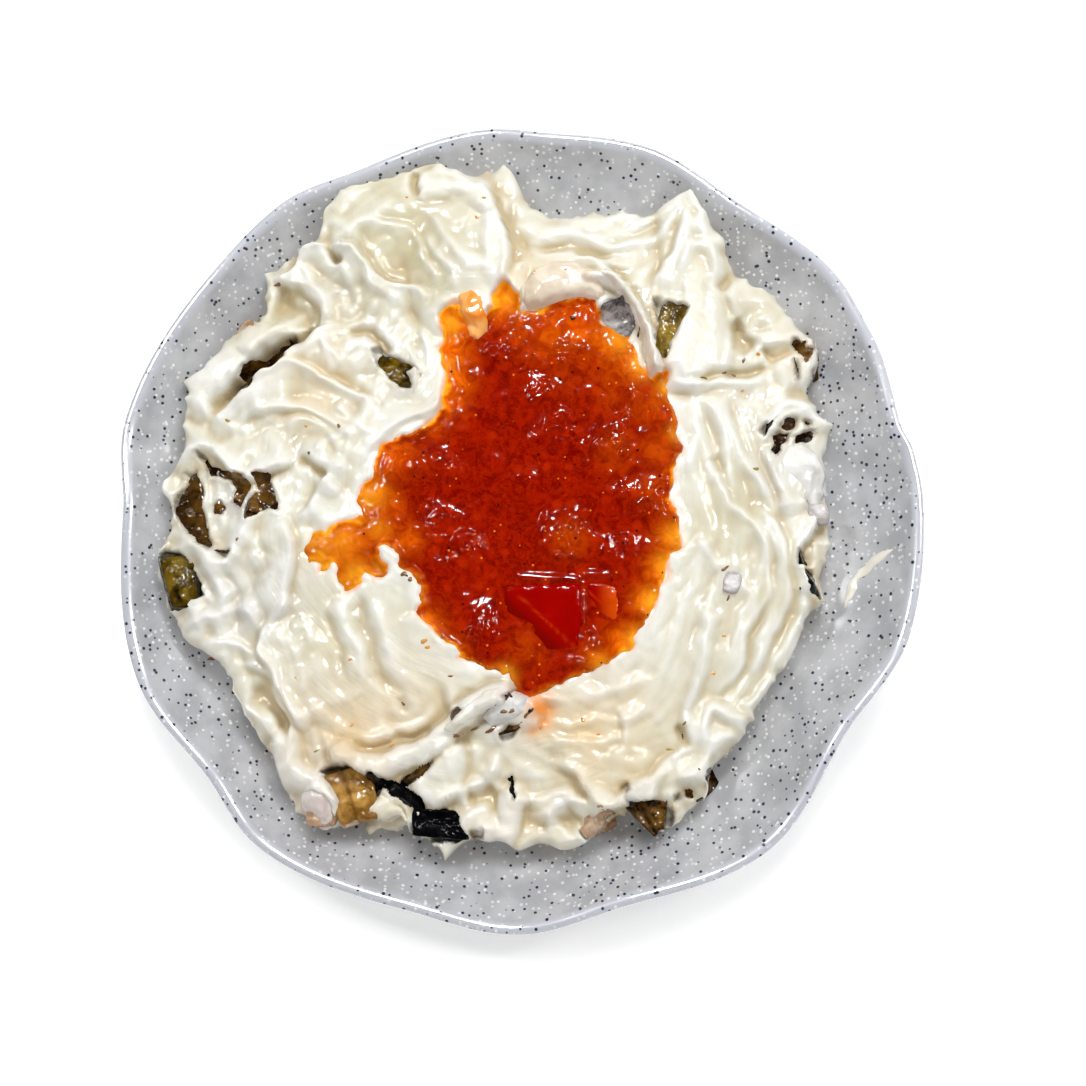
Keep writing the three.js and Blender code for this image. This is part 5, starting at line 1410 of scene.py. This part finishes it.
def pool_level(survey, x, y, inset):
    """The surface of the sauce, with how lumpy it is."""
    rise = SAUCE_RISE * (1.0 - np.exp(-np.maximum(inset + 0.15, 0.0) / 1.8))
    rise -= 0.8 * smoothstep(0.2, -0.8, inset)
    body = smoothstep(0.4, 4.0, inset)
    lumps = 0.4 * layered_noise(x, y, 8.0, 2, 61)
    lumpy = np.zeros_like(x)
    seen_x, seen_y = traced(x, y)
    for (at_x, at_y), reach, height in SAUCE_LUMPS:
        away = np.hypot(seen_x - at_x, seen_y - at_y) / reach + 0.25 * soft_noise(x / 2.5, y / 2.5, 64)
        lumps += 0.8 * height * np.exp(-np.maximum(away, 0.0) ** 3)
        lumpy = np.maximum(lumpy, min(1.0, height) * np.exp(-(1.6 * np.maximum(away, 0.0)) ** 2))
    bent_x = x + 1.6 * layered_noise(x, y, 3.4, 2, 65)
    bent_y = y + 1.6 * layered_noise(x, y, 3.4, 2, 66)
    worms = np.maximum(1.0 - 4.0 * np.abs(soft_noise(bent_x / 2.8, bent_y / 2.8, 67)), 0.0)
    lumps += 0.7 * worms * (0.06 + lumpy)
    for place, size, _, _ in TOMATO.values():
        beside = np.maximum(np.abs(x - place[0]) - size[0] / 2.0, np.abs(y - place[1]) - size[1] / 2.0)
        calm = smoothstep(3.5, 0.5, beside)
        lumps *= 1.0 - 0.8 * calm
        lumpy *= 1.0 - 0.8 * calm
    level = survey.at(survey.closed, x, y) + rise + body * lumps + sauce_lines(seen_x, seen_y)
    return level, lumpy


def sauce_lines(x, y):
    total = np.zeros_like(x)
    for width, height, path in SAUCE_LINES:
        line = spline_points(path, 6)
        low = line.min(axis=0) - 2.0
        high = line.max(axis=0) + 2.0
        near = (x > low[0]) & (x < high[0]) & (y > low[1]) & (y < high[1])
        if near.any():
            across, along, _ = beside_line(line, x[near], y[near])
            ends = smoothstep(0.0, 0.12, along) * smoothstep(0.0, 0.12, 1.0 - along)
            total[near] = np.maximum(total[near], height * ends * np.exp(-(across / width) ** 2))
    return total


def grid_mesh(name, xs, ys, level, wanted, material):
    """The wanted cells of a grid as a mesh; also gives which grid points it keeps."""
    cell = wanted[:-1, :-1] | wanted[1:, :-1] | wanted[:-1, 1:] | wanted[1:, 1:]
    number = np.arange(xs.size).reshape(xs.shape)
    quads = np.stack([number[:-1, :-1][cell], number[:-1, 1:][cell], number[1:, 1:][cell],
                      number[1:, :-1][cell]], axis=1)
    kept, quads = np.unique(quads, return_inverse=True)
    points = np.stack([xs.ravel(), ys.ravel(), level.ravel()], axis=1)[kept]
    return mesh_object(name, points, [quads.reshape(-1, 4)], material), kept


def grid_over(outline, step):
    corners = np.array(outline)
    low, high = corners.min(axis=0) - 2.5, corners.max(axis=0) + 2.5
    ys, xs = np.meshgrid(np.arange(low[1], high[1], step), np.arange(low[0], high[0], step),
                         indexing="ij")
    return xs, ys


def make_sauce(survey):
    """The pool, and the wet crests of its raised lines as a thin piece on it."""
    xs, ys = grid_over(untraced_outline(POOL_OUTLINE), SAUCE_STEP)
    inset = pool_inset(xs, ys)
    level, lumpy = pool_level(survey, xs, ys, inset)
    dull = sauce_material("sauce", shine=0.15, bumpy=True)
    made, kept = grid_mesh("sauce_pool", xs, ys, level, inset > -1.2, dull)
    paint_sauce(made, xs.ravel()[kept], ys.ravel()[kept], inset.ravel()[kept])
    paint(made, "lumpy", lumpy.ravel()[kept])
    settle(made, "sauce", "sauce")
    wet = smoothstep(0.02, 0.12, sauce_lines(*traced(xs, ys)))
    crests = level - WET_LINE_SINK + WET_LINE_RISE * wet
    glossy = sauce_material("wet_sauce", shine=1.0, bumpy=False)
    made, kept = grid_mesh("sauce_lines", xs, ys, crests, wet > 0.05, glossy)
    paint_sauce(made, xs.ravel()[kept], ys.ravel()[kept], inset.ravel()[kept])
    settle(made, "sauce")


def paint_sauce(made, xs, ys, inset):
    grain = 1.5 * layered_noise(xs, ys, 2.8, 2, 69)
    zone = tint(ORANGE_ZONES, xs, ys)
    patches = layered_noise(xs, ys, 5.0, 2, 71)
    orange = np.clip(1.2 * zone + 0.18 * patches * smoothstep(0.1, 0.5, zone), 0.0, 1.0)
    fringe = 0.25 + 0.75 * smoothstep(0.1, 0.5, zone)
    paint(made, "orange", np.maximum(orange, fringe * smoothstep(2.0, 0.4, inset + 0.6 * grain)))
    film = tint(THIN_ZONES, xs, ys)
    thin = np.clip(1.25 * film + 0.2 * grain * smoothstep(0.15, 0.5, film), 0.0, 1.0)
    paint(made, "thin", np.maximum(fringe * smoothstep(0.9, 0.0, inset + 0.4 * grain), thin))


def ground_level(survey, x, y):
    """The surface of the food, sauce and turned-down edge included."""
    inset = pool_inset(x, y)
    sauce = pool_level(survey, x, y, inset)[0]
    return np.maximum(edge_level(survey, x, y), np.where(inset > -0.5, sauce, -1.0))


def make_drape(name, survey, material):
    rise, roundness, _, outline = DRAPES[name]
    outline = untraced_outline(outline)
    xs, ys = grid_over(outline, DRAPE_STEP)
    ragged = 0.25 if roundness > 1.0 else 0.5
    bent_x = xs + ragged * soft_noise(xs / 2.2, ys / 2.2, 151)
    bent_y = ys + ragged * soft_noise(xs / 2.2, ys / 2.2, 152)
    inset = polygon_inset(outline, bent_x, bent_y)
    swell = rise * (1.0 - np.exp(-np.maximum(inset + 0.1, 0.0) / roundness))
    ground = ground_level(survey, xs, ys)
    ground = mix(ground, ground[inset > 0.0].mean(), smoothstep(0.8, 1.5, roundness) * 0.7)
    level = ground + swell - 2.6 * smoothstep(0.1, -0.9, inset)
    level = level + 0.2 * layered_noise(xs, ys, 3.0, 2, 153) * smoothstep(0.0, 1.0, inset)
    made, _ = grid_mesh("fold_" + name, xs, ys, level, inset > -0.9, material)
    settle(made, "yogurt")
    on_top = inset > 0.0
    return np.stack([xs[on_top], ys[on_top], level[on_top]], axis=1)


def make_smear(material):
    """The thin smear of yogurt on the bare plate."""
    xs, ys = grid_over(PLATE_SMEAR, DRAPE_STEP)
    across, along, _ = beside_line(spline_points(PLATE_SMEAR, 6), xs, ys)
    half = np.interp(along, *np.array(SMEAR_WIDTHS).T) + 0.3 * soft_noise(xs / 1.5, ys / 1.5, 154)
    inset = half - np.abs(across)
    level = plate_top(xs, ys) + SMEAR_THICKNESS * (1.0 - np.exp(-np.maximum(inset, 0.0) / 0.5))
    level -= 0.8 * smoothstep(0.0, -0.5, inset)
    made, _ = grid_mesh("fold_smear", xs, ys, level, inset > -0.6, material)
    settle(made, "yogurt")


def make_specks(tone, survey, draped, material):
    """One mesh of small low bumps, one for each bit, on the food or on what is draped over it."""
    turns = np.arange(SPECK_SIDES) * 2.0 * math.pi / SPECK_SIDES
    all_points = []
    groups = []
    for place, length, width, turn in SPECKS[tone]:
        bits = Rings()
        height = SPECK_HEIGHT * min(length, width)
        ragged = 1.0 + 0.22 * np.sin(2 * turns + place[0]) + 0.15 * np.sin(3 * turns + place[1])
        for share in (1.0, 0.92, 0.7, 0.35):
            across = np.cos(turns) * share * ragged * length / 2
            along = np.sin(turns) * share * ragged * width / 2
            bits.add(across, along, np.full(SPECK_SIDES, math.sqrt(1.0 - share * share) * height))
        bits.add(np.zeros(1), np.zeros(1), np.full(1, height))
        points = np.vstack(bits.points)
        x, y, z = place_points(points, untraced(*np.array(place, dtype=float)), turn)
        away = np.hypot(draped[:, 0] - x.mean(), draped[:, 1] - y.mean())
        covered = away.min() < DRAPE_STEP
        z += (draped[away.argmin(), 2] if covered else ground_level(survey, x, y)) - SPECK_SINK
        quads, triangles = bits.faces()
        start = sum(len(group) for group in all_points)
        all_points.append(np.stack([x, y, z], axis=1))
        groups += [group + start for group in quads + triangles]
    made = mesh_object("specks_" + tone, np.vstack(all_points), groups, material)
    settle(made, "eggplant_flesh")


def chunk_points(size, seed, squareness, roughness):
    """A rounded uneven block: a ball pushed out towards the corners of its box."""
    bpy.ops.mesh.primitive_ico_sphere_add(subdivisions=5, radius=1.0)
    ball = bpy.context.object
    count = len(ball.data.vertices)
    points = np.empty(count * 3)
    ball.data.vertices.foreach_get("co", points)
    faces = np.empty(len(ball.data.polygons) * 3, dtype=np.int32)
    ball.data.polygons.foreach_get("vertices", faces)
    bpy.data.objects.remove(ball, do_unlink=True)
    points = points.reshape(-1, 3)
    longest = np.abs(points).max(axis=1)
    boxy = mix(1.0, 1.0 / longest, squareness)
    x, y, z = points.T
    dent = np.sin(3.1 * x + seed) * np.sin(2.7 * y + 2 * seed) + 0.6 * np.sin(4.3 * z + 3 * seed + 2 * x)
    points = points * (boxy * (1.0 + 0.09 * dent))[:, None]
    points = points / np.maximum(np.abs(points).max(axis=1), 1.0)[:, None]
    points = points * np.array(size) / 2.0
    along = points[:, 0] + 0.6 * points[:, 2]
    fibres = layered_noise(along + 40.0 * seed, points[:, 1] * 2.2, 3.0, 3, seed)
    points[:, 2] += roughness * fibres
    return points, faces.reshape(-1, 3)


def place_points(points, place, turn):
    angle = math.radians(turn)
    x = points[:, 0] * math.cos(angle) - points[:, 1] * math.sin(angle) + place[0]
    y = points[:, 0] * math.sin(angle) + points[:, 1] * math.cos(angle) + place[1]
    return x, y, points[:, 2].copy()


def edge_level(survey, x, y):
    """The yogurt's surface without openings, with its turned-down edge."""
    angle = np.arctan2(y - MOUND[1], x - MOUND[0])
    inset = mound_radius(angle) - np.hypot(x - MOUND[0], y - MOUND[1])
    share = 1.0 - np.clip(inset / EDGE_WIDTH, 0.0, 1.0)
    rise = (1.0 - share ** EDGE_SQUARENESS) ** (1.0 / EDGE_SQUARENESS)
    foot = plate_top(x, y) + 0.9
    return foot + np.maximum(survey.at(survey.closed, x, y) - foot, 1.0) * rise


def make_eggplant(name, index, survey, material):
    place, size, turn, proud, kind = EGGPLANT[name]
    place = untraced(*np.array(place, dtype=float))
    squareness = PLANK_SQUARENESS if name in PLANKS else PIECE_SQUARENESS
    points, faces = chunk_points(size, index, squareness, PIECE_ROUGHNESS)
    # The border mark makes each piece darker towards its edges.
    border = smoothstep(0.55, 1.0, np.hypot(2.0 * points[:, 0] / size[0], 2.0 * points[:, 1] / size[1]))
    beside, width, depth = FURROWS.get(name, (0.0, 1.0, 0.0))
    furrow = np.exp(-((points[:, 0] - beside) / width) ** 2)
    points[:, 2] -= depth * furrow
    # The furrow's groove is painted darker too, as painted shade.
    border = np.maximum(0.6 * border if name in PLANKS else border, min(depth, 1.0) * furrow)
    lower = np.clip(0.5 - points[:, 1] / size[1], 0.0, 1.0)
    points[:, 0] *= 1.0 - TAPERS.get(name, 0.0) * lower
    x, y, z = place_points(points, place, turn)
    surface = edge_level(survey, x, y)
    here = float(edge_level(survey, *np.reshape(place, (2, 1)))[0])
    grain = layered_noise(points[:, 0] * 0.7 + 50.0 * index, points[:, 1] * 1.6, 2.6, 3, 120 + index)
    if name in SUNK:
        z += max(here + 2.5, float(surface.max())) - size[2] / 2.0
        top = surface - SUNK[name] + 0.75 * grain
        z = np.where(z > top, top, z)
    else:
        z += here + proud - size[2] / 2.0
    z = np.maximum(z, plate_top(x, y) + 0.3)
    made = mesh_object("fried_" + name, np.stack([x, y, z], axis=1), [faces], material)
    paint(made, "border", border)
    settle(made, "eggplant_skin" if kind == "skin" else "eggplant_flesh", "eggplant_" + name)


def make_tomato(name, index, survey, material):
    place, size, turn, proud = TOMATO[name]
    points, faces = chunk_points(size, index + 2, TOMATO_SQUARENESS, TOMATO_ROUGHNESS)
    x, y, z = place_points(points, place, turn)
    bed = float(survey.at(survey.closed, *np.reshape(place, (2, 1)))[0])
    past_crease = 0.68 * (place[0] - x) + 0.73 * (place[1] - y)
    tilt = 0.03 * (x - place[0]) - 0.12 * np.maximum(past_crease, 0.0)
    z += tilt + bed + SAUCE_RISE - 0.9 + proud - size[2] / 2.0
    made = mesh_object("cooked_" + name, np.stack([x, y, z], axis=1), [faces], material)
    crease = 0.45 * np.exp(-(past_crease / 0.2) ** 2)
    side = smoothstep(-2.0, 3.0, x - place[0]) if name == "right" else 0.0
    paint(made, "sunken", smoothstep(0.0, 4.0, past_crease))
    paint(made, "orange", np.maximum(crease, side))
    settle(made, "tomato", "tomato_" + name)


def make_food():
    survey = Survey()
    make_yogurt(yogurt_material(), survey)
    make_sauce(survey)
    flesh = {kind: flesh_material(kind) for kind in FLESH}
    tones = {}
    draped = []
    for index, name in enumerate(EGGPLANT):
        make_eggplant(name, index, survey, flesh[EGGPLANT[name][4]])
    for name in DRAPES:
        if DRAPES[name][2] not in tones:
            tones[DRAPES[name][2]] = coat_material(DRAPES[name][2])
        draped.append(make_drape(name, survey, tones[DRAPES[name][2]]))
    make_smear(tones["white"])
    for tone in SPECKS:
        make_specks(tone, survey, np.vstack(draped), speck_material(tone))
    wet = tomato_material()
    for index, name in enumerate(TOMATO):
        make_tomato(name, index, survey, wet)


# ======== Floor, light and camera ========
# Place in metres, power in watts, size in metres. A glint is seen only in shiny surfaces, and the
# other lamps aren't seen in them.
LAMPS = {
    "key": ((0.22, 0.50, 0.68), 2.9, 0.20),
    "top": ((0.02, 0.42, 0.80), 1.7, 0.09),
    "right": ((0.50, 0.18, 0.72), 1.0, 0.09),
    "left": ((-0.42, 0.28, 0.75), 1.0, 0.09),
    "front": ((0.05, -0.45, 0.72), 1.6, 0.30),
    "glint_top": ((0.02, 0.42, 0.80), 18.0, 0.087),
    "glint_right": ((0.50, 0.18, 0.72), 10.0, 0.08),
    "glint_left": ((-0.42, 0.28, 0.75), 10.0, 0.08),
}
LAMP_AIM = (0.0, 0.0, 0.02)
# How far from the middle, in metres, the floor starts and ends to turn from shadowed to clear.
SHADOW_REACH = (0.103, 0.116)
FLOOR_SIZE = 6.0
# The room's light by how high one looks: from and to a height, with the strength at each.
ROOM_HEIGHTS = (0.3, 0.95)
ROOM_LIGHT = (0.62, 0.12)
SENSOR_WIDTH = 36.0
FOCAL_LENGTH = 66.0
CAMERA_AIM = (0.0065, -0.0049, 0.018)
CAMERA_DIRECTION = (0.06, -0.12, 1.0)
CAMERA_DISTANCE = 0.4921


def make_studio():
    shade = Shader("floor")
    shade.set(Base_Color=(0.92, 0.92, 0.92, 1.0), Roughness=0.7)
    # The floor glows, more strongly away from the middle: painted light that fades the plate's cast shadow
    # to a short, soft band.
    clear = shade.ramp(shade.length(shade.place), *SHADOW_REACH)
    glow = shade.math("ADD", shade.math("MULTIPLY", clear, 0.45), 0.22)
    shade.set(Emission_Color=(1.0, 1.0, 1.0, 1.0), Emission_Strength=glow)
    bpy.ops.mesh.primitive_plane_add(size=FLOOR_SIZE, location=(0, 0, 0))
    floor = bpy.context.object
    floor.name = "floor"
    floor.data.materials.append(shade.material)
    make_world()
    for name, (place, power, size) in LAMPS.items():
        make_lamp(name, place, power, size)


def make_world():
    """A pale room: bright near the horizon and dimmer overhead."""
    world = bpy.data.worlds.new("studio")
    world.use_nodes = True
    nodes = world.node_tree.nodes
    links = world.node_tree.links
    place = nodes.new("ShaderNodeTexCoord")
    split = nodes.new("ShaderNodeSeparateXYZ")
    links.new(place.outputs["Generated"], split.inputs[0])
    level = nodes.new("ShaderNodeMapRange")
    links.new(split.outputs["Z"], level.inputs["Value"])
    for socket, value in zip(("From Min", "From Max", "To Min", "To Max"), ROOM_HEIGHTS + ROOM_LIGHT):
        level.inputs[socket].default_value = value
    links.new(level.outputs["Result"], nodes["Background"].inputs["Strength"])
    nodes["Background"].inputs["Color"].default_value = (1.0, 1.0, 1.0, 1.0)
    world.cycles_visibility.glossy = False
    bpy.context.scene.world = world


def make_lamp(name, place, power, size):
    """A square lamp that shines on the dish."""
    glint = name.startswith("glint")
    light = bpy.data.lights.new(name, "AREA")
    light.energy = power
    light.size = size
    made = bpy.data.objects.new(name, light)
    made.visible_glossy = glint
    made.visible_diffuse = not glint
    made.visible_transmission = not glint
    made.location = place
    made.rotation_euler = (Vector(LAMP_AIM) - Vector(place)).to_track_quat("-Z", "Y").to_euler()
    bpy.context.collection.objects.link(made)


def make_camera():
    lens = bpy.data.cameras.new("camera")
    lens.sensor_width = SENSOR_WIDTH
    lens.lens = FOCAL_LENGTH
    made = bpy.data.objects.new("camera", lens)
    away = Vector(CAMERA_DIRECTION).normalized()
    made.location = Vector(CAMERA_AIM) + away * CAMERA_DISTANCE
    right = Vector((0, 1, 0)).cross(away).normalized()
    made.rotation_euler = Matrix((right, away.cross(right), away)).transposed().to_euler()
    bpy.context.collection.objects.link(made)
    bpy.context.scene.camera = made
    bpy.context.scene.view_settings.view_transform = "Standard"


make_plate()
make_food()
make_studio()
make_camera()
